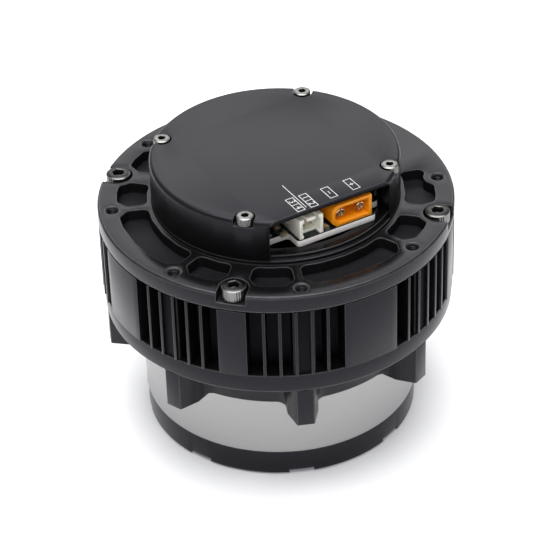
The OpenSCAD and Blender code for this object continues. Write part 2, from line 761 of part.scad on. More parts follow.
module first_carrier() color(gear_steel) translate([0, 0, carrier_1_z]) {
    difference() {
        cylinder(r = ring_1_tip_r - 1.3, h = carrier_1_t);
        translate([0, 0, -eps]) cylinder(r = sun_bore_r + 1.9 + fit, h = carrier_1_t + 2 * eps);
        around(planet_count) translate([orbit_1_r, 0, -eps])
            cylinder(r = planet_pin_r + fit, h = carrier_1_t + 2 * eps);
        around(planet_count, 60) translate([orbit_1_r, 0, -eps])
            cylinder(r = 4.5, h = carrier_1_t + 2 * eps);
    }
}

module first_carrier_pins() color(bare_metal)
    planet_pins(orbit_1_r, carrier_1_z, planet_1_z + gear_1_w + head_gap);

module planet_gear_1(index) color(gear_steel)
    planet_gear(index, orbit_1_r, ring_1_teeth, planet_1_teeth, module_1, gear_1_w, planet_1_z);

module sun_gear_1() color(gear_steel) {
    stem_r = shaft_bore_r - fit;
    stem_top = shaft_flange_z + shaft_flange_t + 2;
    difference() {
        union() {
            translate([0, 0, planet_1_z]) rotate(180 / sun_1_teeth)
                external_gear(sun_1_teeth, module_1, web_z - planet_1_z);
            translate([0, 0, web_z - eps]) cylinder(r = stem_r, h = stem_top - web_z + eps);
        }
        translate([0, 0, planet_1_z - eps])
            cylinder(r = sun_bore_r, h = stem_top - planet_1_z + 2 * eps);
    }
}

module rotor_shaft() color(steel) {
    shaft_z = web_z + 0.1;
    shaft_top = floor_z + 1.7;
    difference() {
        union() {
            translate([0, 0, shaft_z]) cylinder(r = shaft_r, h = shaft_top - shaft_z);
            translate([0, 0, front_hub_top]) cylinder(r = shaft_r + 1, h = hub_gap + eps);
            translate([0, 0, shaft_flange_z])
                chamfered_disc(shaft_flange_r, shaft_flange_t, 0.2, 0.2);
            translate([0, 0, shaft_flange_z])
                cylinder(r = shaft_r + 1, h = rear_bearing_z - shaft_flange_z);
        }
        translate([0, 0, shaft_z - eps])
            cylinder(r = shaft_bore_r, h = shaft_top - shaft_z + 2 * eps);
        around(6) translate([shaft_flange_r - 1.4, 0, shaft_flange_z - eps])
            cylinder(r = m2[0] + hole_play, h = shaft_flange_t + 2 * eps);
    }
}

module rotor_bell() color(bare_metal) {
    bell_top = stack_z + stack_h + 1;
    screw_end = shaft_flange_z + shaft_flange_t - bell_screw_l;
    difference() {
        translate([0, 0, bell_z]) chamfered_disc(bell_r, bell_top - bell_z, 0.6, 0.2);
        translate([0, 0, bell_z + bell_web])
            cylinder(r = bell_bore_r, h = bell_top - bell_z);
        translate([0, 0, bell_z - eps])
            cylinder(r = bearing_hub_r + hub_gap, h = bell_web + 2 * eps);
        around(8, hole_angle) translate([22, 0, bell_z - eps])
            cylinder(r = 3.2, h = bell_web + 2 * eps);
        around(6) translate([shaft_flange_r - 1.4, 0, screw_end - 0.2])
            cylinder(r = m2[0] + fit, h = bell_screw_l);
    }
    difference() {
        translate([0, 0, bell_z + bell_web - eps])
            ring(bearing_hub_r + hub_gap, shaft_flange_r, shaft_flange_z - bell_z - bell_web + eps);
        around(6) translate([shaft_flange_r - 1.4, 0, screw_end - 0.2])
            cylinder(r = m2[0] + fit, h = bell_screw_l);
    }
}

module rotor_bell_screws() color(screw_steel) {
    around(6) translate([shaft_flange_r - 1.4, 0, shaft_flange_z + shaft_flange_t])
        cap_screw([m2[0], m2[1] - 0.1, 1.4, m2[3]], bell_screw_l);
}

module rotor_magnets() color(bare_metal) {
    translate([0, 0, stack_z + stack_h / 2 - magnet_l / 2]) difference() {
        ring(magnet_r, bell_bore_r - fit, magnet_l);
        around(magnet_count) translate([magnet_r - 1, -magnet_space / 2, -eps])
            cube([magnet_t + 2, magnet_space, magnet_l + 2 * eps]);
    }
}

module rotor_encoder_magnet() color(bare_metal) {
    translate([0, 0, floor_z + 1.7 - encoder_magnet_t])
        ring(shaft_r + fit, ring_magnet_r, encoder_magnet_t);
}

module front_bearing_inner_race() color(steel) translate([0, 0, front_bearing_z])
    inner_race(shaft_r + fit, rotor_bearing_outer_r, rotor_bearing_w, rotor_ball_r);

module front_bearing_balls() color(bare_metal) translate([0, 0, front_bearing_z])
    caged_balls(shaft_r, rotor_bearing_outer_r, rotor_bearing_w, rotor_ball_r, rotor_ball_count);

module front_bearing_outer_race() color(steel) translate([0, 0, front_bearing_z])
    outer_race(shaft_r, rotor_bearing_outer_r, rotor_bearing_w, rotor_ball_r);

module rear_bearing_inner_race() color(steel) translate([0, 0, rear_bearing_z])
    inner_race(shaft_r + fit, rotor_bearing_outer_r, rotor_bearing_w, rotor_ball_r);

module rear_bearing_balls() color(bare_metal) translate([0, 0, rear_bearing_z])
    caged_balls(shaft_r, rotor_bearing_outer_r, rotor_bearing_w, rotor_ball_r, rotor_ball_count);

module rear_bearing_outer_race() color(steel) translate([0, 0, rear_bearing_z])
    outer_race(shaft_r, rotor_bearing_outer_r, rotor_bearing_w, rotor_ball_r);

module stator_core() color(steel) translate([0, 0, stack_z]) linear_extrude(stack_h) {
    difference() {
        circle(stator_bore_r + yoke_t);
        circle(stator_bore_r);
    }
    around(slot_count) translate([stator_bore_r + yoke_t / 2, -tooth_w / 2])
        square([stator_r - tip_t / 2 - stator_bore_r - yoke_t / 2, tooth_w]);
    difference() {
        circle(stator_r);
        circle(stator_r - tip_t);
        around(slot_count, 180 / slot_count) translate([stator_r - 2 * tip_t, -slot_mouth / 2])
            square([3 * tip_t, slot_mouth]);
    }
}

// One coil as a rounded frame round its tooth
module coil() {
    width = tooth_w + 2 * coil_t;
    height = stack_h + 2 * coil_overhang;
    corner = min(coil_overhang, width / 2) - eps;
    translate([coil_r0, 0, coil_z + height / 2]) rotate([90, 0, 90])
        linear_extrude(coil_r1 - coil_r0) difference() {
            union() {
                square([width - 2 * corner, height], center = true);
                square([width, height - 2 * corner], center = true);
                for (sx = [-1, 1], sy = [-1, 1])
                    translate([sx * (width / 2 - corner), sy * (height / 2 - corner)]) circle(corner);
            }
            square([tooth_w + 2 * fit, stack_h + 2 * fit], center = true);
        }
}

module stator_windings() color(copper) around(slot_count) coil();

module phase_leads() color([0.75, 0.1, 0.08]) {
    for (k = [-1:1]) rotate(90 + k * lead_angle)
        translate([lead_circle_r, 0, rear_z - coil_top_gap])
            cylinder(r = lead_r, h = board_z - rear_z + coil_top_gap);
}

// Plan of one lug with its tapered tip
module lug_plan() {
    tip_x = body_r - rim_inset - 0.2;
    root_r = spigot_r + neck_wall / 2;
    half = lug_base_w / 2;
    polygon([
        [root_r, -half], [tip_x - lug_taper, -half], [tip_x, -lug_tip_w / 2],
        [tip_x, lug_tip_w / 2], [tip_x - lug_taper, half], [root_r, half]
    ]);
}

// Plan of the fillets between one lug and the neck
module lug_fillet_plan() {
    root_r = spigot_r + neck_wall / 2;
    half = lug_base_w / 2;
    blend = 0.06;
    fillet_y = half + lug_fillet_r - blend;
    fillet_x = sqrt(pow(neck_r + lug_fillet_r - blend, 2) - fillet_y * fillet_y);
    tangent = atan2(fillet_y, fillet_x);
    for (side = [0, 1]) mirror([0, side]) difference() {
        polygon([[root_r, half - 0.1], [fillet_x, half - 0.1], [fillet_x, fillet_y],
            polar(root_r, tangent)]);
        translate([fillet_x, fillet_y]) circle(lug_fillet_r);
    }
}

module front_flange() color(black_metal) {
    difference() {
        union() {
            translate([0, 0, rim_z]) chamfered_disc(body_r - rim_inset, rim_t, 0.3, 0);
            translate([0, 0, neck_z]) cylinder(r = neck_r, h = rim_z - neck_z + eps);
            translate([0, 0, lug_z]) linear_extrude(rim_z - lug_z + eps)
                around(body_hole_count, hole_angle) lug_plan();
            translate([0, 0, neck_z]) linear_extrude(rim_z - neck_z + eps)
                around(body_hole_count, hole_angle) lug_fillet_plan();
            translate([0, 0, web_z]) cylinder(r = bearing_hub_r, h = front_hub_top - web_z);
        }
        translate([0, 0, neck_z - eps]) cylinder(r = spigot_r + fit, h = spigot_h + eps);
        translate([0, 0, lug_z - eps]) cylinder(r = ring_r + fit, h = lug_drop + eps);
        translate([0, 0, web_z - eps]) cylinder(r = rotor_bearing_outer_r - 1.5, h = seat_lip + 2 * eps);
        translate([0, 0, front_bearing_z])
            cylinder(r = rotor_bearing_outer_r + fit, h = rotor_bearing_w + eps);
        around(body_hole_count, hole_angle) translate([screw_circle_r, 0, lug_z - eps])
            cylinder(r = load_hole_r, h = lug_hole_depth + eps);
        around(long_screw_count, long_screw_angle) translate([screw_circle_r, 0, rim_z - eps])
            cylinder(r = m3[0] + fit, h = rim_t + 2 * eps);
        around(ring_screw_count) translate([ring_screw_r, 0, web_z - eps]) {
            cylinder(r = m2[0] + hole_play, h = web_t + 2 * eps);
            translate([0, 0, web_t - m2[2] - 0.1 + eps])
                cylinder(r = m2[1] + 0.2, h = m2[2] + 0.1 + eps);
        }
    }
}

module heat_sink_ring() color(black_metal) translate([0, 0, sink_z]) {
    half_slot = (fin_pitch - fin_angle) / 2;
    difference() {
        ring(sink_bore_r, body_r, sink_h);
        difference() {
            around(long_screw_count, long_screw_angle) for (side = [0, 1]) mirror([0, side])
                for (k = [0:fin_count]) {
                    first = k == 0 ? screw_pad_angle : fin_pitch * (k + 1.5) - half_slot;
                    last = k == fin_count ? 180 / long_screw_count - wide_pad_angle
                        : fin_pitch * (k + 1.5) + half_slot;
                    translate([0, 0, -eps]) wedge(body_r + 4, first, last, sink_h + 2 * eps);
                }
            translate([0, 0, -1]) cylinder(r = slot_floor_r, h = sink_h + 2);
            around(body_hole_count, hole_angle) translate([screw_circle_r - 3, -2.4, -1])
                intersection() {
                    cube([screw_inset + 3 + 2, 4.8, sink_h + 2]);
                    translate([3 - screw_circle_r, 2.4, 0])
                        cylinder(r = body_r - boss_slot_depth, h = sink_h + 2);
                }
        }
        around(body_hole_count, hole_angle)
            translate([screw_circle_r, 0, -eps]) cylinder(r = m3[0] + hole_play, h = sink_h + 2 * eps);
        around(long_screw_count, long_screw_angle)
            translate([screw_circle_r, 0, -eps]) cylinder(r = m3[0] + hole_play, h = sink_h + 2 * eps);
    }
}

// Plan of the pockets between hub and rim, with the walls round holes and screws left
module pocket_plan() {
    offset(r = pocket_round, $fn = 32) offset(r = -pocket_round - pocket_blend, $fn = 32)
        offset(r = pocket_blend, $fn = 32) difference() {
            circle(body_r - pocket_rim);
            circle(cover_r + pocket_inset);
            polygon([[0, 0], polar(2 * body_r, -plain_angle), polar(2 * body_r, plain_angle)]);
            around(body_hole_count, hole_angle)
                translate([screw_circle_r, 0]) circle(m3[0] + hole_boss_wall);
            around(long_screw_count, long_screw_angle) {
                translate([screw_circle_r, 0]) circle(m3[1] + bore_play + screw_boss_wall);
                translate([cover_r, -screw_rib_w / 2])
                    square([screw_circle_r - cover_r, screw_rib_w]);
            }
            for (i = [1:body_hole_count - 2]) rotate(hole_angle + i * 360 / body_hole_count)
                translate([cover_r, -hole_rib_w / 2])
                    square([screw_circle_r - cover_r, hole_rib_w]);
        }
}

module rear_flange() color(black_metal) {
    head_seat = rear_top - 2.3;
    boss_z = rear_bearing_z - 0.5;
    difference() {
        union() {
            translate([0, 0, rear_z]) chamfered_disc(body_r, rear_flange_t, 0.3, rear_edge);
            translate([0, 0, rear_z]) cylinder(r = cover_r, h = hub_top - rear_z);
            translate([0, 0, hub_top - eps]) cylinder(r = hub_spigot_r, h = hub_spigot_h + eps);
            translate([0, 0, stack_z])
                ring(stator_bore_r - 3, stator_bore_r - fit, rear_z - stack_z + eps);
            translate([0, 0, stack_z + stack_h])
                ring(stator_bore_r - 3, stator_bore_r + yoke_t - 0.4, rear_z - stack_z - stack_h + eps);
            translate([0, 0, boss_z])
                cylinder(r = bearing_hub_r, h = rear_z - boss_z + eps);
        }
        translate([0, 0, floor_z]) cylinder(r = hub_recess_r, h = board_z - floor_z + eps);
        translate([0, 0, boss_z - eps]) cylinder(r = rotor_bearing_outer_r - 1.5, h = 1);
        translate([0, 0, rear_bearing_z])
            cylinder(r = rotor_bearing_outer_r + fit, h = floor_z - rear_bearing_z + eps);
        translate([0, 0, rear_z - eps])
            ring(stator_bore_r + yoke_t - 0.2, cover_r + 0.9, 0.6 + eps);
        translate([0, 0, rear_top - pocket_depth]) linear_extrude(pocket_depth + eps) pocket_plan();
        around(body_hole_count, hole_angle) translate([screw_circle_r, 0, rear_z - eps])
            cylinder(r = load_hole_r, h = rear_flange_t + 2 * eps);
        around(body_hole_count, hole_angle) translate([screw_circle_r, 0, rear_top]) mouth();
        around(long_screw_count, long_screw_angle) translate([screw_circle_r, 0, 0]) {
            translate([0, 0, rear_z - eps]) cylinder(r = m3[0] + hole_play, h = rear_flange_t);
            translate([0, 0, head_seat]) {
                cylinder(r = m3[1] + bore_play + 0.1, h = rear_flange_t);
                translate([0, -m3[1] - bore_play - 0.1, 0])
                    cube([body_r, 2 * (m3[1] + bore_play + 0.1), rear_flange_t]);
            }
        }
        around(long_screw_count, long_screw_angle) translate([cover_screw_r, 0, 0]) {
            translate([0, 0, hub_top]) cylinder(r = cover_boss_r + 0.2, h = hub_spigot_h + eps);
            translate([0, 0, cover_seat_z - cover_screw_l - 0.3])
                cylinder(r = m2[0] + fit, h = cover_screw_l);
        }
        for (k = [-1:1]) rotate(90 + k * lead_angle)
            translate([lead_circle_r, 0, stack_z + stack_h])
                cylinder(r = lead_hole_r, h = board_z - stack_z - stack_h + 2 * eps);
    }
    difference() {
        around(board_screw_count, 90) translate([board_screw_circle_r, 0, floor_z - eps])
            cylinder(r = standoff_r, h = board_z - floor_z + eps);
        around(board_screw_count, 90) translate([board_screw_circle_r, 0, board_top - board_screw_l - 0.2])
            cylinder(r = m2[0] + fit, h = board_screw_l);
    }
}

module body_screws() color(screw_steel) {
    around(long_screw_count, long_screw_angle)
        translate([screw_circle_r, 0, rear_top - 2.3]) cap_screw(m3, body_screw_l);
}

module board_plan() {
    offset(r = 0.9, $fn = 32) offset(r = -1.8, $fn = 32) offset(r = 0.9, $fn = 32) difference() {
        union() {
            difference() {
                circle(board_r);
                translate([-board_r, -2 * board_r])
                    square([2 * board_r, 2 * board_r + tongue_y + tongue_depth]);
            }
            translate([tongue_left, tongue_y]) square([tongue_right - tongue_left, tongue_depth + 4]);
        }
        around(long_screw_count, long_screw_angle)
            translate([cover_screw_r, 0]) circle(cover_boss_r + board_gap + 0.3);
    }
}

module driver_board() color([0.1, 0.25, 0.16]) {
    difference() {
        translate([0, 0, board_z]) linear_extrude(board_t) board_plan();
        around(board_screw_count, 90) translate([board_screw_circle_r, 0, board_z - eps])
            cylinder(r = m2[0] + hole_play, h = board_t + 2 * eps);
    }
}

module board_screws() color(screw_steel) {
    around(board_screw_count, 90)
        translate([board_screw_circle_r, 0, board_top]) cap_screw([m2[0], m2[1], 1.4, m2[3]], board_screw_l);
}

module controller_chip() color(chip_black)
    translate([-controller_w / 2, -controller_w / 2, board_top])
        cube([controller_w, controller_w, chip_t]);

module power_transistors() color(chip_black) {
    last_y = board_screw_circle_r - m2[1] - transistor_clearance;
    first_y = last_y - 2 * transistor_d - transistor_gap / 2;
    for (i = [-1:1], j = [0, 1])
        translate([i * (transistor_w + transistor_gap) - transistor_w / 2,
            first_y + j * (transistor_d + transistor_gap / 2), board_top])
            cube([transistor_w, transistor_d, chip_t]);
}

module capacitors() color(bare_metal) {
    for (side = [-1, 1], row = [-1, 1])
        translate([side * capacitor_x, row * (capacitor_r + 0.5), board_top])
            chamfered_disc(capacitor_r, capacitor_h, 0.2, 0.3);
}

module encoder_chips() color(chip_black) {
    for (x = [0, 5.6]) translate([x - 2, -2, board_z - chip_t]) cube([4, 4, chip_t]);
}

// Section of the power connector: the two corners of its keyed side are cut
module power_section(inset) {
    x = power_w / 2 - inset;
    z = power_h / 2 - inset;
    polygon([[-x, power_chamfer - z], [power_chamfer - x, -z], [x, -z], [x, z],
        [power_chamfer - x, z], [-x, z - power_chamfer]]);
}

module power_connector() color("orange") {
    translate([power_x, connector_y, power_z]) rotate([90, 0, 0]) difference() {
        translate([0, 0, -power_depth]) linear_extrude(power_depth) power_section(0);
        translate([0, 0, -power_socket]) linear_extrude(power_socket + eps) power_section(power_wall);
        for (side = [-1, 1]) translate([side * power_pitch / 2, 0, -power_depth - eps])
            cylinder(r = power_pin_r + fit, h = power_depth);
    }
}

module power_pins() color("gold") {
    for (side = [-1, 1]) translate([power_x + side * power_pitch / 2, connector_y + 0.8, power_z])
        rotate([-90, 0, 0]) {
            difference() {
                cylinder(r = power_pin_r, h = power_depth + 0.4);
                translate([0, 0, -eps]) cylinder(r = power_pin_r * 0.55, h = 3);
                translate([-0.15, -power_pin_r - 1, -eps]) cube([0.3, 2 * power_pin_r + 2, 3]);
            }
            translate([0, 0, power_depth + 0.4]) sphere(power_pin_r);
            translate([0, 0, power_depth + 0.4]) rotate([-90, 0, 0])
                cylinder(r = power_pin_r, h = power_h / 2);
        }
}

module signal_connector() color("ivory") {
    inner_w = signal_w - 2 * signal_wall;
    inner_h = signal_h - 2 * signal_wall;
    translate([signal_x - signal_w / 2, connector_y, board_top]) difference() {
        cube([signal_w, signal_depth, signal_h]);
        translate([signal_wall, -eps, signal_wall]) cube([inner_w, signal_depth - 1.6, inner_h]);
        translate([signal_wall + 0.2, -eps, -eps]) cube([inner_w - 0.4, 1.8, signal_wall + 2 * eps]);
        for (side = [-1, 1]) {
            translate([signal_w / 2 + side * inner_w / 3 - 0.4, -eps, signal_h - signal_wall - eps])
                cube([0.8, signal_depth - 3, signal_wall + 2 * eps]);
            translate([signal_w / 2 + side * signal_pitch / 2 - signal_pin_w / 2 - fit,
                signal_depth - 2, signal_h / 2 - signal_pin_w / 2 - fit])
                cube([signal_pin_w + 2 * fit, 3, signal_pin_w + 2 * fit]);
        }
    }
}

module signal_pins() color("gold") {
    for (side = [-1, 1]) translate([signal_x + side * signal_pitch / 2 - signal_pin_w / 2,
            connector_y + 1.6, signal_z - signal_pin_w / 2]) {
        cube([signal_pin_w, signal_depth, signal_pin_w]);
        translate([0, signal_depth - signal_pin_w, -(signal_h - signal_pin_w) / 2])
            cube([signal_pin_w, signal_pin_w, signal_h / 2]);
    }
}

// Space inside the rear cover: bore, seat of the hub's spigot and plug window
module cover_hollow() {
    inner_h = cover_h - cover_top_t;
    translate([0, 0, hub_top - 1]) {
        cylinder(r = cover_bore_r, h = inner_h + 1);
        cylinder(r = hub_spigot_r + fit, h = hub_spigot_h + fit + 1);
        translate([-window_x, -2 * cover_r, 0])
            cube([2 * window_x, 2 * cover_r - window_y + window_depth, inner_h + 1]);
    }
}

module rear_cover() color(black_metal) {
    difference() {
        translate([0, 0, hub_top]) rotate_extrude() {
            square([cover_r - cover_round, cover_h]);
            square([cover_r, cover_h - cover_round]);
            translate([cover_r - cover_round, cover_h - cover_round]) intersection() {
                circle(cover_round);
                square(2 * cover_round);
            }
        }
        difference() {
            cover_hollow();
            around(long_screw_count, long_screw_angle)
                translate([cover_screw_r, 0, hub_top - 2]) cylinder(r = cover_boss_r, h = 2 * cover_h);
        }
        translate([-cover_r, -2 * cover_r - window_y, hub_top - 1])
            cube([2 * cover_r, 2 * cover_r, cover_h + 2]);
        around(long_screw_count, long_screw_angle) translate([cover_screw_r, 0, 0]) {
            translate([0, 0, hub_top - 1]) cylinder(r = m2[0] + hole_play, h = cover_h);
            translate([0, 0, cover_seat_z]) {
                cylinder(r = m2[1] + bore_play, h = cover_h);
                translate([0, -m2[1] - bore_play, 0])
                    cube([cover_r, 2 * (m2[1] + bore_play), cover_h]);
            }
        }
    }
}

module rear_cover_screws() color(screw_steel) {
    around(long_screw_count, long_screw_angle)
        translate([cover_screw_r, 0, cover_seat_z]) cap_screw(m2, cover_screw_l);
}

output_flange();
output_flange_screws();
output_carrier();
output_carrier_pins();
output_encoder_rod();
output_encoder_magnet();
output_bearing_inner_race();
output_bearing_balls();
output_bearing_outer_race();
output_cover();
output_cover_screws();
ring_gear();
ring_gear_screws();
planet_gear_2(0);  // planet_gear_2a
planet_gear_2(1);  // planet_gear_2b
planet_gear_2(2);  // planet_gear_2c
sun_gear_2();
first_carrier();
first_carrier_pins();
planet_gear_1(0);  // planet_gear_1a
planet_gear_1(1);  // planet_gear_1b
planet_gear_1(2);  // planet_gear_1c
sun_gear_1();
rotor_shaft();
rotor_bell();
rotor_bell_screws();
rotor_magnets();
rotor_encoder_magnet();
front_bearing_inner_race();
front_bearing_balls();
front_bearing_outer_race();
rear_bearing_inner_race();
rear_bearing_balls();
rear_bearing_outer_race();
stator_core();
stator_windings();
phase_leads();
front_flange();
heat_sink_ring();
rear_flange();
body_screws();
driver_board();
board_screws();
controller_chip();
power_transistors();
capacitors();
encoder_chips();
power_connector();
power_pins();
signal_connector();
signal_pins();
rear_cover();
rear_cover_screws();
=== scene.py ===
"""Robot joint actuator, dressed for a product view, from the output face up to the rear cover."""
import json
from math import cos, pi, radians, sin

import bmesh
import bpy
from mathutils import Matrix, Vector


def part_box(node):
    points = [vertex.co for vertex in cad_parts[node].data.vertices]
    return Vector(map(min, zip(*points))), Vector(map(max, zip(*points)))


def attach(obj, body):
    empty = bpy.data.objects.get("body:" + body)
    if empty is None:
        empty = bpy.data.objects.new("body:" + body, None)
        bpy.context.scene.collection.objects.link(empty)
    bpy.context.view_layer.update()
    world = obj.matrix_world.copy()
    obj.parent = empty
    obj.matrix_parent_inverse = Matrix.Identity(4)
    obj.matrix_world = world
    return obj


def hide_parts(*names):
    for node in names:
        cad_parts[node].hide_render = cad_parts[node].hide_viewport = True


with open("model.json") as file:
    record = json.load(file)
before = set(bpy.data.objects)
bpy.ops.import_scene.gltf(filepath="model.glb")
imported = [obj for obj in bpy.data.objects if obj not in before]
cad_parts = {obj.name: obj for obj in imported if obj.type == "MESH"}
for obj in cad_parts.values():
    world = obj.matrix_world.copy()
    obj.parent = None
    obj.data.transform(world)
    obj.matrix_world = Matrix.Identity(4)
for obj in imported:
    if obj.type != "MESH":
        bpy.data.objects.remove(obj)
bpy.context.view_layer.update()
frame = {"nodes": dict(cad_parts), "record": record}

# ---------------------------------------------------------------- Studio
# A white sweep of paper under the actuator, with one soft box behind it, one overhead
# and a weaker one in front, in a dim white room. The sheet glows a little, as if lit
# from the room's far side, which keeps its shadows pale.
MM = 0.001
PAPER_SIZE = 6.0
PAPER_LIFT = -0.00002
VIEW_SIDE = radians(-29.91)
VIEW_DOWN = radians(-35.42)
VIEW_TILT = radians(-1.786)
CAMERA_PLACE = (-0.23499, -0.40701, 0.36753)


class Sock:
    """A node's output. Arithmetic on it adds Math nodes to its tree."""

    def __init__(self, out):
        self.out = out
        self.tree = out.id_data

    @staticmethod
    def make(tree, kind, settings=None, values=None, pick=0):
        """Adds a node: settings first, then a value or a link for each named socket."""
        node = tree.nodes.new(kind)
        for key, value in (settings or {}).items():
            setattr(node, key, value)
        for key, value in (values or {}).items():
            socket = node.inputs[key]
            if isinstance(value, Sock):
                tree.links.new(value.out, socket)
            elif value is not None:
                socket.default_value = value
        return Sock(node.outputs[pick]) if len(node.outputs) else node

    def node(self, kind, settings=None, values=None, pick=0):
        return Sock.make(self.tree, kind, settings, values, pick)

    def math(self, operation, *values):
        return self.node("ShaderNodeMath", {"operation": operation}, dict(enumerate(values)))

    def __add__(self, other):
        return self.math("ADD", self, other)

    def __sub__(self, other):
        return self.math("SUBTRACT", self, other)

    def __rsub__(self, other):
        return self.math("SUBTRACT", other, self)

    def __mul__(self, other):
        return self.math("MULTIPLY", self, other)

    def __rtruediv__(self, other):
        return self.math("DIVIDE", other, self)

    def __gt__(self, other):
        return self.math("GREATER_THAN", self, other)

    __radd__ = __add__
    __rmul__ = __mul__

    def mix(self, low, high):
        """Two colours blended by this mask."""
        return self.node("ShaderNodeMix", {"data_type": "RGBA"}, {0: self, 6: low, 7: high}, pick=2)


def grey(level, warmth=0.0):
    """A grey, or one that leans to red when its warmth is above 0."""
    return (level * (1 + warmth), level, level * (1 - warmth), 1.0)


def finish(name, shade):
    """A material whose look comes from shade(tree, place), which returns the shader's sockets."""
    material = bpy.data.materials.new(name)
    material.use_nodes = True
    tree = material.node_tree
    tree.nodes.clear()
    place = Sock.make(tree, "ShaderNodeTexCoord", pick=3)
    sockets = shade(tree, place)
    shader = Sock.make(tree, "ShaderNodeBsdfPrincipled", values=sockets)
    Sock.make(tree, "ShaderNodeOutputMaterial", values={"Surface": shader})
    return material


def stretched(place, factors):
    """A place in the piece with each coordinate times its own factor."""
    return place.node("ShaderNodeVectorMath", {"operation": "MULTIPLY"}, {0: place, 1: factors})


def noise(place, scale, detail=2.0):
    """Uneven noise between 0 and 1, so many waves to the metre."""
    return place.node("ShaderNodeTexNoise", values={
        "Vector": place, "Scale": scale, "Detail": detail})


def bump(height, strength, distance):
    return height.node("ShaderNodeBump", values={
        "Strength": strength, "Distance": distance, "Height": height})


def paper(tree, place):
    """White paper that glows a little."""
    cloud = noise(place, 1.5)
    return {
        "Base Color": cloud.mix(grey(0.86), grey(0.9)),
        "Roughness": 0.6 + cloud * 0.1,
        "Specular IOR Level": 0.2,
        "Emission Color": (0.8, 0.82, 1.0, 1),
        "Emission Strength": 0.1,
    }


def link(thing):
    """Puts an object in the scene and hands it back."""
    bpy.context.scene.collection.objects.link(thing)
    return thing


def flat_plane(name, size, height):
    """A square sheet lying at a height, its faces up."""
    mesh = bpy.data.meshes.new(name)
    half = size / 2
    corners = ((-half, -half), (half, -half), (half, half), (-half, half))
    mesh.from_pydata([(x, y, height) for x, y in corners], [], [(0, 1, 2, 3)])
    return link(bpy.data.objects.new(name, mesh))


def soft_box(name, place, aim, size, power):
    """A rectangular area light that points at a spot."""
    lamp = bpy.data.lights.new(name, "AREA")
    lamp.shape = "RECTANGLE"
    lamp.size, lamp.size_y = size
    lamp.energy = power
    thing = link(bpy.data.objects.new(name, lamp))
    turn = (Vector(aim) - Vector(place)).to_track_quat("-Z", "Y")
    thing.matrix_world = Matrix.Translation(place) @ turn.to_matrix().to_4x4()


floor = flat_plane("paper_sweep", PAPER_SIZE, PAPER_LIFT)
floor.data.materials.append(finish("white_paper", paper))

soft_box("soft_box_back", (0.45, 0.78, 0.7), (0, 0, 0.05), (1.2, 0.7), 5.2)
soft_box("soft_box_top", (-0.1, -0.05, 1.1), (0, 0, 0.05), (1.1, 1.1), 20.0)
soft_box("soft_box_front", (-0.5, -1.0, 0.9), (0, 0, 0.03), (1.0, 0.7), 3.0)

world = bpy.data.worlds.new("white_room")
world.use_nodes = True
world.node_tree.nodes["Background"].inputs["Color"].default_value = grey(1.0)
world.node_tree.nodes["Background"].inputs["Strength"].default_value = 0.28
bpy.context.scene.world = world
bpy.context.scene.view_settings.view_transform = "Standard"

lens = bpy.data.cameras.new("product_camera")
lens.sensor_width = 36.0
lens.lens = 164.9
lens.clip_start = 0.01
camera = link(bpy.data.objects.new("product_camera", lens))
camera.matrix_world = (
    Matrix.Translation(CAMERA_PLACE)
    @ Matrix.Rotation(VIEW_SIDE, 4, "Z")
    @ Matrix.Rotation(pi / 2 + VIEW_DOWN, 4, "X")
    @ Matrix.Rotation(VIEW_TILT, 4, "Z")
)
bpy.context.scene.camera = camera

# ---------------------------------------------------------------- Rear cover
# A cap turned and milled from aluminium, bead-blasted and anodised black. Its flat has
# the plug window; every machined edge is broken by about a tenth of a millimetre.
COVER_EDGE = 0.12 * MM
# the lighter grey of the painted highlight on outside broken edges
EDGE_HIGHLIGHT_GREY = 0.05
WELD = 0.03 * MM
# faces that meet below the first angle are one face, above the second they form an edge
# that gets broken, and above the third the shading breaks there too
FLAT_ANGLE = radians(0.4)
SHARP_ANGLE = radians(28)
CREASE_ANGLE = radians(40)
# edges that meet at less than this angle leave no room for a bevel
PINCH_ANGLE = radians(25)


def anodised(level, rough, blast=0.35, recess_radius=None, recess_top=1.0, recess_shade=0.65):
    """Black anodised aluminium: fine bead-blast grain and a faint, larger unevenness. A lighter
    grey is painted on the outside broken edges as a painted highlight. Inside the given radius
    and below the given height the surface is rougher, as a cutter left it, and it also gets
    painted shade: a share of metallic on the near-black base takes most of its reflection away."""
    def shade(tree, place):
        grain = noise(place, 9000, detail=3)
        cloud = noise(place, 90)
        in_recess = 0.0
        if recess_radius:
            flat = stretched(place, (1, 1, 0))
            reach = flat.node("ShaderNodeVectorMath", {"operation": "LENGTH"}, {0: flat}, pick=1)
            height = place.node("ShaderNodeSeparateXYZ", values={0: place}, pick=2)
            # inside the radius and under the height: rougher as milled, and painted shade through
            # metallic on the near-black base
            in_recess = (recess_radius - reach > 0) * (recess_top - height > 0)
        edge = Sock.make(tree, "ShaderNodeAttribute", {"attribute_name": "edge"}, pick=2)
        # painted highlight on the outside broken edges, broken up by noise
        edge_highlight = edge * (0.3 + noise(place, 700) * 0.7)
        black = cloud.mix(grey(level * 0.9, -0.04), grey(level * 1.15, -0.04))
        return {
            "Base Color": edge_highlight.mix(black, grey(EDGE_HIGHLIGHT_GREY)),
            "Metallic": in_recess * recess_shade,
            "Roughness": rough + grain * 0.08 + cloud * 0.05 + in_recess * 0.3,
            "Specular IOR Level": 0.27,
            "Specular Tint": (0.86, 0.84, 1.0, 1),
            "Normal": bump(grain, blast, 0.004 * MM),
        }
    return shade


black_anodised = finish("black_anodised", anodised(0.0045, 0.3))


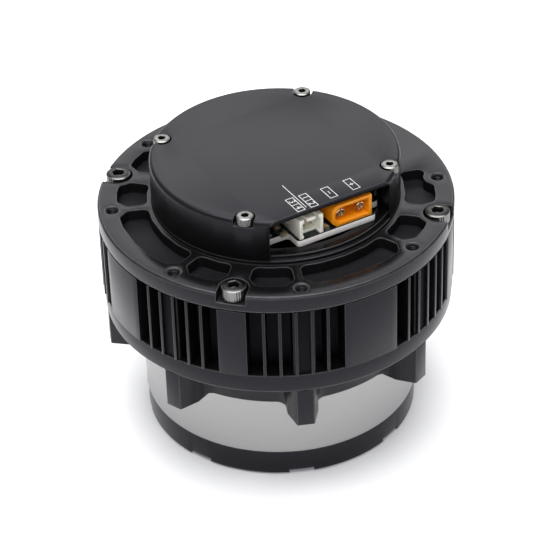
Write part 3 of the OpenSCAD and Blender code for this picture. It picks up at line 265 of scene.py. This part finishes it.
def edges_to_break(work):
    """Sharp edges, without those that run into another one at a very small angle."""
    sharp = {e for e in work.edges if e.calc_face_angle(0) > SHARP_ANGLE}
    pinched = set()
    for vert in work.verts:
        ways = [(e.other_vert(vert).co - vert.co).normalized() for e in vert.link_edges if e in sharp]
        if any(a.dot(b) > cos(PINCH_ANGLE) for n, a in enumerate(ways) for b in ways[n + 1:]):
            pinched.add(vert)
    return [e for e in sharp if not pinched.intersection(e.verts)]


def stands_out(face):
    """Whether the faces next to this one fall away behind it, as round an outside edge."""
    centre = face.calc_center_median()
    beside = [other for edge in face.edges for other in edge.link_faces if other is not face]
    return sum((other.calc_center_median() - centre).dot(face.normal) for other in beside) < 0


def machined(name, node, body, material, edge):
    """A welded copy of a machined part with its sharp edges broken; it stands for the part."""
    work = bmesh.new()
    work.from_mesh(frame["nodes"][node].data)
    bmesh.ops.remove_doubles(work, verts=work.verts, dist=WELD)
    bmesh.ops.dissolve_degenerate(work, dist=WELD, edges=work.edges)
    bmesh.ops.dissolve_limit(work, angle_limit=FLAT_ANGLE, verts=work.verts, edges=work.edges)
    for face in work.faces:
        face.smooth = any(FLAT_ANGLE < e.calc_face_angle(0) < SHARP_ANGLE for e in face.edges)
    bmesh.ops.triangulate(work, faces=work.faces)
    broken = work.faces.layers.float.new("edge")
    made = bmesh.ops.bevel(work, geom=edges_to_break(work), offset=edge, offset_type="OFFSET",
                           segments=2, profile=0.5, affect="EDGES")
    work.normal_update()
    # the bevel faces round outside edges are marked for the painted edge highlight
    for face in made["faces"]:
        face.smooth = True
        face[broken] = 1.0 if stands_out(face) else 0.0
    mesh = bpy.data.meshes.new(name)
    work.to_mesh(mesh)
    work.free()
    # the bare part's stored normals don't fit the broken edges
    for layer in [a for a in mesh.attributes if a.name == "custom_normal"]:
        mesh.attributes.remove(layer)
    mesh.set_sharp_from_angle(angle=CREASE_ANGLE)
    mesh.materials.append(material)
    piece = link(bpy.data.objects.new(name, mesh))
    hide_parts(node)
    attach(piece, body)


machined("cover_cap", "rear_cover", "housing", black_anodised, COVER_EDGE)

# ---------------------------------------------------------------- Cover markings
# White screen-printed marks by the sockets: a divider line, two frames with two plain
# numbers each, and one frame each for minus and plus.
INK = 0.012 * MM
LINE = 0.17 * MM
FRAME_W = 1.8 * MM
FRAMES = [
    # centre and length in millimetres, signs
    ((7.3, -20.3), 4.2, ["+"]),
    ((1.5, -20.4), 4.2, ["-"]),
    ((-3.85, -20.6), 5.3, ["1", "2"]),
    ((-7.1, -20.5), 5.3, ["3", "4"]),
]
DIVIDER_X = -5.6 * MM
DIVIDER_ENDS = (-22.6 * MM, -12.6 * MM)
DIGIT_H = 1.5 * MM
FONT_SIZE = 1.4 * DIGIT_H
SIGN = 1.1 * MM


def ink(tree, place):
    """Screen-printed ink that covers a little unevenly."""
    speck = noise(place, 4000)
    return {
        "Base Color": speck.mix(grey(0.46), grey(0.56)),
        "Roughness": 0.5 + speck * 0.1,
    }


white_ink = finish("white_ink", ink)
cover_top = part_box("rear_cover")[1].z


def slab(work, x0, x1, y0, y1, z0, z1):
    """A rectangular block in a bmesh, its faces out."""
    outline = ((x0, y0), (x1, y0), (x1, y1), (x0, y1))
    corners = [work.verts.new((x, y, z)) for z in (z0, z1) for x, y in outline]
    for ring in ((3, 2, 1, 0), (4, 5, 6, 7), (0, 1, 5, 4), (1, 2, 6, 5), (2, 3, 7, 6), (3, 0, 4, 7)):
        work.faces.new([corners[i] for i in ring])


def digit(work, text, x, y):
    """Prints one digit as a thin closed shape, reading towards the plug window."""
    curve = bpy.data.curves.new("sign", "FONT")
    curve.body = text
    curve.size = FONT_SIZE
    curve.align_x = "CENTER"
    curve.align_y = "CENTER"
    curve.extrude = INK / 2
    thing = link(bpy.data.objects.new("sign", curve))
    bpy.context.view_layer.update()
    mesh = bpy.data.meshes.new_from_object(thing)
    bpy.data.objects.remove(thing)
    mesh.transform(Matrix.Translation((x, y, cover_top + INK / 2)) @ Matrix.Rotation(-pi / 2, 4, "Z"))
    printed = set(work.verts)
    work.from_mesh(mesh)
    bmesh.ops.remove_doubles(work, verts=[v for v in work.verts if v not in printed], dist=INK / 20)


def markings():
    """The divider, the frames and their signs. No two bars overlap."""
    work = bmesh.new()
    half_w, half_line, half_sign = FRAME_W / 2, LINE / 2, SIGN / 2

    def bar(x0, x1, y0, y1):
        slab(work, x0, x1, y0, y1, cover_top, cover_top + INK)

    bar(DIVIDER_X - half_line, DIVIDER_X + half_line, *DIVIDER_ENDS)
    for (cx, cy), length, signs in FRAMES:
        cx, cy, half_l = cx * MM, cy * MM, length * MM / 2
        for side in (-1, 1):
            x = cx + side * half_w
            bar(x - half_line, x + half_line, cy - half_l - half_line, cy + half_l + half_line)
        for rung in (-1, 0, 1) if len(signs) == 2 else (-1, 1):
            y = cy + rung * half_l
            bar(cx - half_w + half_line, cx + half_w - half_line, y - half_line, y + half_line)
        for index, sign in enumerate(signs):
            if sign.isdigit():
                digit(work, sign, cx, cy + half_l * (0.5 - index))
            else:
                bar(cx - half_line, cx + half_line, cy - half_sign, cy + half_sign)
            if sign == "+":
                bar(cx - half_sign, cx - half_line, cy - half_line, cy + half_line)
                bar(cx + half_line, cx + half_sign, cy - half_line, cy + half_line)
    mesh = bpy.data.meshes.new("cover_markings")
    work.to_mesh(mesh)
    work.free()
    mesh.materials.append(white_ink)
    return link(bpy.data.objects.new("cover_markings", mesh))


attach(markings(), "housing")

# ---------------------------------------------------------------- Screws
# Stainless socket head cap screws, cold-headed with a knurled rim, a chamfered crown and
# a hexagon socket, and with a rolled thread. Each set sits on a circle round the axis.
KNURLS = 34
SCREW_SIDES = 2 * KNURLS
SCREW_CREASE = radians(32)


def repeater(name):
    """A tree that sets the incoming mesh round a circle about the turning axis."""
    tree = bpy.data.node_groups.new(name, "GeometryNodeTree")
    sockets = tree.interface
    sockets.new_socket("Geometry", in_out="INPUT", socket_type="NodeSocketGeometry")
    for key, kind in (("Count", "Int"), ("Circle Radius", "Float"), ("First Angle", "Float"),
                      ("Height", "Float")):
        sockets.new_socket(key, in_out="INPUT", socket_type="NodeSocket" + kind)
    sockets.new_socket("Finish", in_out="INPUT", socket_type="NodeSocketMaterial")
    sockets.new_socket("Geometry", in_out="OUTPUT", socket_type="NodeSocketGeometry")
    given = tree.nodes.new("NodeGroupInput")
    inputs = {s.name: Sock(s) for s in given.outputs if s.name}
    index = Sock.make(tree, "GeometryNodeInputIndex")
    angle = index * (2 * pi / inputs["Count"]) + inputs["First Angle"]
    spot = Sock.make(tree, "ShaderNodeCombineXYZ", values={
        0: angle.math("COSINE", angle) * inputs["Circle Radius"],
        1: angle.math("SINE", angle) * inputs["Circle Radius"],
        2: inputs["Height"]})
    turn = Sock.make(tree, "ShaderNodeCombineXYZ", values={2: angle})
    points = Sock.make(tree, "GeometryNodePoints", values={"Count": inputs["Count"], "Position": spot})
    copies = Sock.make(tree, "GeometryNodeInstanceOnPoints", values={
        "Points": points, "Instance": inputs["Geometry"], "Rotation": turn})
    solid = Sock.make(tree, "GeometryNodeRealizeInstances", values={"Geometry": copies})
    dressed = Sock.make(tree, "GeometryNodeSetMaterial", values={
        "Geometry": solid, "Material": inputs["Finish"]})
    out = tree.nodes.new("NodeGroupOutput")
    tree.links.new(dressed.out, out.inputs[0])
    return tree


round_circle = repeater("set_round_circle")


def grown(name, unit, tree, **sizes):
    """Runs a tree on a unit mesh and keeps the result as a plain mesh."""
    thing = link(bpy.data.objects.new(name, unit))
    nodes = thing.modifiers.new("repeat", "NODES")
    nodes.node_group = tree
    for item in tree.interface.items_tree:
        key = item.name.lower().replace(" ", "_")
        if item.item_type == "SOCKET" and item.in_out == "INPUT" and key in sizes:
            nodes[item.identifier] = sizes[key]
    graph = bpy.context.evaluated_depsgraph_get()
    mesh = bpy.data.meshes.new_from_object(thing.evaluated_get(graph))
    thing.modifiers.clear()
    thing.data = mesh
    mesh.name = name
    return thing


def lathe_rings(work, stations, sides):
    """Rings of vertices for (radius or radius rule, height) stations, joined by faces."""
    rings = []
    for radius, z in stations:
        rule = radius if callable(radius) else (lambda a, r=radius: r)
        rings.append([
            work.verts.new((rule(2 * pi * k / sides) * cos(2 * pi * k / sides),
                            rule(2 * pi * k / sides) * sin(2 * pi * k / sides), z))
            for k in range(sides)])
    for low, high in zip(rings, rings[1:]):
        for k in range(sides):
            nxt = (k + 1) % sides
            work.faces.new((low[k], low[nxt], high[nxt], high[k]))
    work.faces.new(list(reversed(rings[0])))
    work.faces.new(rings[-1])
    return rings


def cap_screw(shank, head, head_h, key, length, stain_and_shade, head_down):
    """One cap screw seated at z = 0. Painted shade is marked deep in its hexagon socket, and on
    its crown by the given share; the chamfered mouth of the socket is left bare."""
    edge = 0.1 * head_h
    bottom = 0.5 * head_h
    knurl = 0.035 * head
    pitch = 0.25 * shank + 0.1 * MM
    crest = shank - 0.01 * MM
    root = 0.86 * shank
    plain_shank = 0.99 * shank
    point = 0.72 * shank
    point_end = 0.25 * shank - length

    def ribbed(angle):
        return head - knurl * (0.5 + 0.5 * cos(angle * KNURLS))

    def hexagon(angle):
        return key / 2 / cos((angle % (pi / 3)) - pi / 6)

    stations = [(point, -length), (shank - 0.06 * MM, point_end)]
    for turn in range(int(0.8 * length / pitch)):
        low = point_end + turn * pitch
        stations += [(crest, low + 0.35 * pitch), (crest, low + 0.5 * pitch), (root, low + pitch)]
    stations += [
        (plain_shank, stations[-1][1] + 0.5 * pitch), (plain_shank, 0),
        (head * 0.93, 0), (ribbed, 0.06 * head_h), (ribbed, head_h - edge),
        (head - 1.4 * edge, head_h - 0.3 * edge), (head - 2.0 * edge, head_h),
        (lambda a: hexagon(a) + 0.6 * edge, head_h), (lambda a: hexagon(a) + 0.4 * edge, head_h),
        (hexagon, head_h - 0.4 * edge), (hexagon, head_h - bottom),
        (0.3 * key, head_h - bottom - 0.12 * key)]
    work = bmesh.new()
    painted_shade = work.verts.layers.float.new("painted_shade")
    rings = lathe_rings(work, stations, SCREW_SIDES)
    # painted shade: the crown takes the given share, the socket's mouth none and its deep walls all of
    # it
    for ring, level in zip(rings[-7:], (stain_and_shade, stain_and_shade, stain_and_shade, 0.0, 0.0, 1.0, 1.0)):
        for vert in ring:
            vert[painted_shade] = level
    mesh = bpy.data.meshes.new("cap_screw")
    if head_down:
        bmesh.ops.rotate(work, verts=work.verts, matrix=Matrix.Rotation(pi, 3, "X"))
    bmesh.ops.recalc_face_normals(work, faces=work.faces)
    work.to_mesh(mesh)
    work.free()
    return mesh


def smoothed(mesh):
    """Smooth shading, except across the creases."""
    mesh.shade_smooth()
    mesh.set_sharp_from_angle(angle=SCREW_CREASE)


def stainless(tree, place):
    """Stainless steel with fine pits and stains, near black where painted shade is marked on the
    screw.
    """
    fine = noise(place, 3500, detail=4)
    stain_and_shade = noise(place, 300)
    painted_shade = Sock.make(tree, "ShaderNodeAttribute", {"attribute_name": "painted_shade"}, pick=2)
    return {
        "Base Color": painted_shade.mix(stain_and_shade.mix(grey(0.15, 0.02), grey(0.26, 0.02)), grey(0.03)),
        "Metallic": 1.0,
        "Roughness": 0.24 + fine * 0.16,
        "Normal": bump(fine, 0.3, 0.01 * MM),
    }


stainless_steel = finish("stainless_steel", stainless)
SCREW_SIZES = {
    # in millimetres: shank radius, head radius, head height, key across flats
    "M2": (1.0, 1.9, 2.0, 1.5),
    "M2 low": (1.0, 1.9, 1.4, 1.5),
    "M2 narrow": (1.0, 1.8, 1.4, 1.5),
    "M2.5": (1.25, 2.25, 2.5, 2.0),
    "M3": (1.5, 2.75, 3.0, 2.5),
}
# the share of painted shade on the crowns of these screw sizes
CROWN_SHADE = {"M2.5": 0.95, "M3": 0.95}
SCREW_SETS = [
    # name, node, body, size, count, first angle in degrees, head down
    ("cover_cap_screws", "rear_cover_screws", "housing", "M2", 4, 45, False),
    ("long_body_screws", "body_screws", "housing", "M3", 4, 45, False),
    ("load_flange_screws", "output_flange_screws", "output", "M3", 6, 30, True),
    ("output_ring_screws", "output_cover_screws", "housing", "M2.5", 8, 22.5, True),
    ("gear_ring_screws", "ring_gear_screws", "housing", "M2", 6, 0, False),
    ("bell_screws", "rotor_bell_screws", "rotor", "M2 narrow", 6, 0, False),
    ("driver_board_screws", "board_screws", "housing", "M2 low", 3, 90, False),
]
for name, node, body, size, count, first, head_down in SCREW_SETS:
    shank, head, head_h, key = (value * MM for value in SCREW_SIZES[size])
    low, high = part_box(node)
    reach = max(sin(radians(first) + 2 * pi * k / count) for k in range(count))
    length = high.z - low.z - head_h
    one = cap_screw(shank, head, head_h, key, length, CROWN_SHADE.get(size, 0.0), head_down)
    screws = grown(name, one, round_circle, count=count, circle_radius=(high.y - head) / reach,
                   first_angle=radians(first), finish=stainless_steel,
                   height=low.z + head_h if head_down else high.z - head_h)
    smoothed(screws.data)
    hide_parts(node)
    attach(screws, body)

# ---------------------------------------------------------------- Threads
# The threads cut into the tapped mounting holes: an M3 thread as a fine ridge that winds
# up each hole. One ridge is wound and the rest are set round the circle like the screws.
THREAD_STEPS = 24
THREAD_ROOT = 1.26 * MM
THREAD_CREST = 1.03 * MM
THREAD_PITCH = 0.5 * MM
RIDGE_HALF = 0.46 * THREAD_PITCH
MOUTH = 0.42 * MM


def thread_ridge(turns):
    """A wound ridge of triangular section that climbs from z = 0, closed at both ends."""
    work = bmesh.new()
    rows = []
    section = ((THREAD_ROOT, 0), (THREAD_CREST, RIDGE_HALF), (THREAD_ROOT, 2 * RIDGE_HALF))
    for k in range(turns * THREAD_STEPS + 1):
        angle = 2 * pi * k / THREAD_STEPS
        climb = THREAD_PITCH * k / THREAD_STEPS
        rows.append([work.verts.new((r * cos(angle), r * sin(angle), climb + z)) for r, z in section])
    for low, high in zip(rows, rows[1:]):
        for k in range(3):
            nxt = (k + 1) % 3
            work.faces.new((low[k], low[nxt], high[nxt], high[k]))
    work.faces.new(rows[0])
    work.faces.new(rows[-1])
    bmesh.ops.recalc_face_normals(work, faces=work.faces)
    mesh = bpy.data.meshes.new("thread_ridge")
    work.to_mesh(mesh)
    work.free()
    return mesh


THREAD_SETS = [
    # name, mount, body, turns
    ("mounting_threads", "rear_bolts", "housing", 6),
    ("lug_threads", "lug_bolts", "housing", 13),
    ("load_threads", "output_bolts", "output", 10),
]
mounts = {mount["name"]: mount for mount in frame["record"]["mounts"]}
for name, mount_name, body, turns in THREAD_SETS:
    mount = mounts[mount_name]
    count, face_z = mount["dims"]["count"], mount["pos_m"][2]
    height = turns * THREAD_PITCH + 2 * RIDGE_HALF
    opens_down = mount["axis"][2] < 0
    threads = grown(name, thread_ridge(turns), round_circle, count=count, finish=black_anodised,
                    circle_radius=mount["dims"]["pcd_mm"] / 2 * MM, first_angle=pi / count,
                    height=face_z + MOUTH if opens_down else face_z - MOUTH - height)
    smoothed(threads.data)
    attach(threads, body)

# ---------------------------------------------------------------- Rear flange
# The aluminium flange behind the motor: milled pockets round a stepped hub, eight tapped
# holes and four counterbores that are open at the rim. Anodised like the cover.
FLANGE_EDGE = 0.22 * MM
POCKET_REACH = 39.5 * MM
POCKET_LIP = 0.3 * MM

# the pockets below the mount face get painted shade, besides a rougher milled floor
pocketed_anodised = finish("pocketed_anodised", anodised(
    0.0035, 0.2, blast=0.25, recess_radius=POCKET_REACH,
    recess_top=mounts["rear_bolts"]["pos_m"][2] - POCKET_LIP, recess_shade=0.35))
machined("rear_plate", "rear_flange", "housing", pocketed_anodised, FLANGE_EDGE)

# ---------------------------------------------------------------- Heat sink ring
# The finned aluminium ring round the motor, clamped between the two flanges by the long
# screws. The slots between its fins are milled over its whole height, and closed inside.
RING_EDGE = 0.12 * MM
SLOT_REACH = 39.5 * MM

# the slots between the fins get painted shade at a larger share, besides a rougher milled floor
slotted_anodised = finish("slotted_anodised", anodised(0.0015, 0.2, recess_radius=SLOT_REACH))
machined("finned_ring", "heat_sink_ring", "housing", slotted_anodised, RING_EDGE)

# ---------------------------------------------------------------- Front flange
# The aluminium flange between motor and gears, with a rim, a neck round the steel ring
# and eight lugs with tapped holes. Anodised like the cover.
turned_anodised = finish("turned_anodised", anodised(0.0035, 0.2, blast=0.25))
machined("lug_flange", "front_flange", "housing", turned_anodised, FLANGE_EDGE)

# ---------------------------------------------------------------- Ring gear
# The bare steel ring: its outside is ground, which leaves fine lines round it, and both
# stages' inner teeth are cut in its bore.
RING_LINES = (60, 60, 26000)
RING_BANDS = (20, 20, 900)


def ground(tree, place):
    """Steel ground on the turning axis, with fine lines and broader bands round it."""
    lines = noise(stretched(place, RING_LINES), 1.0, detail=3)
    broad = noise(stretched(place, RING_BANDS), 1.0)
    return {
        "Base Color": lines.mix(grey(0.3, 0.0), grey(0.38, 0.0)),
        "Metallic": 1.0,
        "Roughness": 0.26 + lines * 0.12 + broad * 0.06,
        "Normal": bump(lines, 0.25, 0.006 * MM),
    }


def carried(node, material):
    """A CAD part that keeps its own shape and gets its finish."""
    thing = frame["nodes"][node]
    thing.data.materials.clear()
    thing.data.materials.append(material)


ground_steel = finish("ground_steel", ground)
carried("ring_gear", ground_steel)

# ---------------------------------------------------------------- Output side
# The fixed black cover with eight notches, and the turning flange inside it with its
# bolt circle, dowel holes and centring recess. Both are anodised aluminium.
machined("notched_ring", "output_cover", "housing", turned_anodised, COVER_EDGE)
machined("load_flange", "output_flange", "output", black_anodised, COVER_EDGE)

# ---------------------------------------------------------------- Driver board
# A glass-fibre board with a dark solder mask on both faces and a pale cut edge. Its
# chips, can capacitors and nine small parts by the sockets are soldered on.
BOARD_EDGE = 0.06 * MM
CHIP_EDGE = 0.08 * MM
CAN_EDGE = 0.12 * MM
SMALL_L = 1.6 * MM
SMALL_W = 0.85 * MM
SMALL_H = {"ceramic": 0.8 * MM, "resistor": 0.45 * MM}
END_L = 0.3 * MM
END_RIM = 0.02 * MM
SMALL_PARTS = [
    # x and y in millimetres, whether it lies along Y, kind
    (-0.55, -22.2, True, "ceramic"),
    (-0.55, -20.1, True, "resistor"),
    (-0.55, -18.0, True, "ceramic"),
    (-9.7, -19.6, False, "ceramic"),
    (-9.7, -18.1, False, "resistor"),
    (-9.7, -16.6, False, "ceramic"),
    (-12.3, -17.6, True, "resistor"),
    (-12.3, -15.4, True, "ceramic"),
    (-14.2, -15.2, True, "resistor"),
]


def mask_board(tree, place):
    """Solder mask on the flat faces and bare glass fibre on the cut edge."""
    up = Sock.make(tree, "ShaderNodeNewGeometry", pick=1)
    level = up.node("ShaderNodeSeparateXYZ", values={0: up}, pick=2)
    face = level.math("ABSOLUTE", level) > 0.5
    weave = noise(stretched(place, (1, 1, 0.2)), 5000)
    pale = weave.mix(grey(0.72, 0.03), grey(0.85, 0.03))
    return {
        "Base Color": face.mix(pale, (0.006, 0.012, 0.01, 1.0)),
        "Roughness": 0.6 - face * 0.3,
    }


machined("board", "driver_board", "housing", finish("masked_board", mask_board), BOARD_EDGE)


def plain(tone_a, tone_b, rough, metal=0.0, glow=0.0):
    """A moulded or metal surface between two close tones, with a fine grain. Nylon also
    lets some light through, which is its glow."""
    def shade(tree, place):
        grain = noise(place, 2500, detail=3)
        cloud = noise(place, 250)
        return {
            "Base Color": cloud.mix(tone_a, tone_b),
            "Metallic": metal,
            "Roughness": rough + grain * 0.1,
            "Normal": bump(grain, 0.3, 0.004 * MM),
            "Subsurface Weight": glow,
            "Subsurface Radius": (1.0, 0.55, 0.2),
            "Subsurface Scale": 1.5 * MM,
        }
    return shade


board_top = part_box("driver_board")[1].z
tin = finish("tinned_ends", plain(grey(0.55), grey(0.65), 0.3, metal=1.0))
SMALL_FINISH = {
    "ceramic": finish("ceramic_bodies", plain((0.32, 0.22, 0.13, 1), (0.4, 0.28, 0.17, 1), 0.5)),
    "resistor": finish("resistor_bodies", plain(grey(0.015), grey(0.025), 0.4)),
}


def block(work, place, along_y, start, end, half_w, top):
    """A block on the board, from start to end along a small part's length."""
    x, y = place
    if along_y:
        slab(work, x - half_w, x + half_w, y + start, y + end, board_top, top)
    else:
        slab(work, x + start, x + end, y - half_w, y + half_w, board_top, top)


def soldered(name, work, material):
    """Makes a piece of a finished shape, which stays with the board."""
    mesh = bpy.data.meshes.new(name)
    work.to_mesh(mesh)
    work.free()
    mesh.materials.append(material)
    piece = link(bpy.data.objects.new(name, mesh))
    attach(piece, "housing")


ends = bmesh.new()
bodies = {kind: bmesh.new() for kind in SMALL_H}
half_l, half_w = SMALL_L / 2, SMALL_W / 2
for x, y, along_y, kind in SMALL_PARTS:
    place, top = (x * MM, y * MM), board_top + SMALL_H[kind]
    block(bodies[kind], place, along_y, -half_l, half_l, half_w, top)
    for start, end in ((-half_l - END_RIM, END_L - half_l), (half_l - END_L, half_l + END_RIM)):
        block(ends, place, along_y, start, end, half_w + END_RIM, top + END_RIM)
soldered("small_part_ends", ends, tin)
for kind, work in bodies.items():
    soldered(kind + "_parts", work, SMALL_FINISH[kind])

chip_finish = finish("chip_package", plain(grey(0.02), grey(0.03), 0.45))
can_finish = finish("can_metal", plain(grey(0.6), grey(0.7), 0.28, metal=1.0))
for node in ("controller_chip", "power_transistors", "encoder_chips"):
    machined(node + "_package", node, "housing", chip_finish, CHIP_EDGE)
machined("can_capacitors", "capacitors", "housing", can_finish, CAN_EDGE)

# ---------------------------------------------------------------- Power socket
# Orange nylon, moulded in one piece with a chamfered key side, with two hollow contact
# pins that are split into springs and gold-plated.
POWER_SOCKET_EDGE = 0.12 * MM
POWER_PIN_EDGE = 0.06 * MM

orange_nylon = finish("orange_nylon", plain(
    (0.95, 0.29, 0.003, 1), (0.99, 0.34, 0.004, 1), 0.3, glow=0.3))
gold_plate = finish("gold_plate", plain(
    (0.84, 0.74, 0.52, 1), (0.9, 0.81, 0.6, 1), 0.2, metal=1.0))
machined("power_socket", "power_connector", "housing", orange_nylon,
         POWER_SOCKET_EDGE)
machined("power_contacts", "power_pins", "housing", gold_plate, POWER_PIN_EDGE)

# ---------------------------------------------------------------- Signal socket
# A side-entry header of natural nylon for two contacts, moulded with slots in its sides
# and soldered to the board.
SIGNAL_SOCKET_EDGE = 0.08 * MM
SIGNAL_PIN_EDGE = 0.05 * MM

cream_nylon = finish("cream_nylon", plain(
    (0.96, 0.93, 0.8, 1), (0.98, 0.96, 0.86, 1), 0.4, glow=0.2))
machined("signal_socket", "signal_connector", "housing", cream_nylon,
         SIGNAL_SOCKET_EDGE)
machined("signal_contacts", "signal_pins", "housing", gold_plate, SIGNAL_PIN_EDGE)

# ---------------------------------------------------------------- Inner parts
# Gears and shafts are hardened and oiled, races and balls polished, the bell is bare
# aluminium, the magnets are nickel-plated and the windings are enamelled copper.
SHEET = 0.35 * MM
STRANDS = (500, 500, 3500)

gear_steel = finish("oiled_gear_steel", plain(grey(0.3), grey(0.4), 0.3, metal=1.0))
bearing_steel = finish("polished_bearing_steel", plain(grey(0.6), grey(0.68), 0.12, metal=1.0))
bare_aluminium = finish("machined_aluminium", plain(grey(0.62), grey(0.7), 0.3, metal=1.0))
nickel_plate = finish("nickel_plate", plain(grey(0.55, 0.02), grey(0.62, 0.03), 0.22, metal=1.0))
red_silicone = finish("red_silicone", plain((0.45, 0.02, 0.015, 1), (0.55, 0.03, 0.02, 1), 0.55))


def laminated(tree, place):
    """Sheet steel stacked along the axis, seen by its edges."""
    height = place.node("ShaderNodeSeparateXYZ", values={0: place}, pick=2)
    sheet = height.math("PINGPONG", height, SHEET / 2) * (2 / SHEET)
    return {
        "Base Color": sheet.mix(grey(0.16), grey(0.3)),
        "Metallic": 1.0,
        "Roughness": 0.5 - sheet * 0.15,
        "Normal": bump(sheet, 0.6, 0.02 * MM),
    }


def wound(tree, place):
    """Enamelled copper wire laid in coils, seen as fine strands."""
    strand = noise(stretched(place, STRANDS), 1.0)
    return {
        "Base Color": strand.mix((0.45, 0.14, 0.04, 1), (0.72, 0.3, 0.1, 1)),
        "Metallic": 1.0,
        "Roughness": 0.3 + strand * 0.15,
        "Normal": bump(strand, 0.5, 0.05 * MM),
    }


INNER = {
    gear_steel: ["output_carrier", "output_carrier_pins", "output_encoder_rod", "first_carrier",
                 "first_carrier_pins", "sun_gear_1", "sun_gear_2", "rotor_shaft",
                 "planet_gear_1a", "planet_gear_1b", "planet_gear_1c",
                 "planet_gear_2a", "planet_gear_2b", "planet_gear_2c"],
    bearing_steel: [part + kind for part in ("output_bearing_", "front_bearing_", "rear_bearing_")
                    for kind in ("inner_race", "outer_race", "balls")],
    bare_aluminium: ["rotor_bell"],
    nickel_plate: ["rotor_magnets", "rotor_encoder_magnet", "output_encoder_magnet"],
    red_silicone: ["phase_leads"],
    finish("stacked_laminations", laminated): ["stator_core"],
    finish("enamelled_copper", wound): ["stator_windings"],
}
for material, nodes in INNER.items():
    for node in nodes:
        carried(node, material)
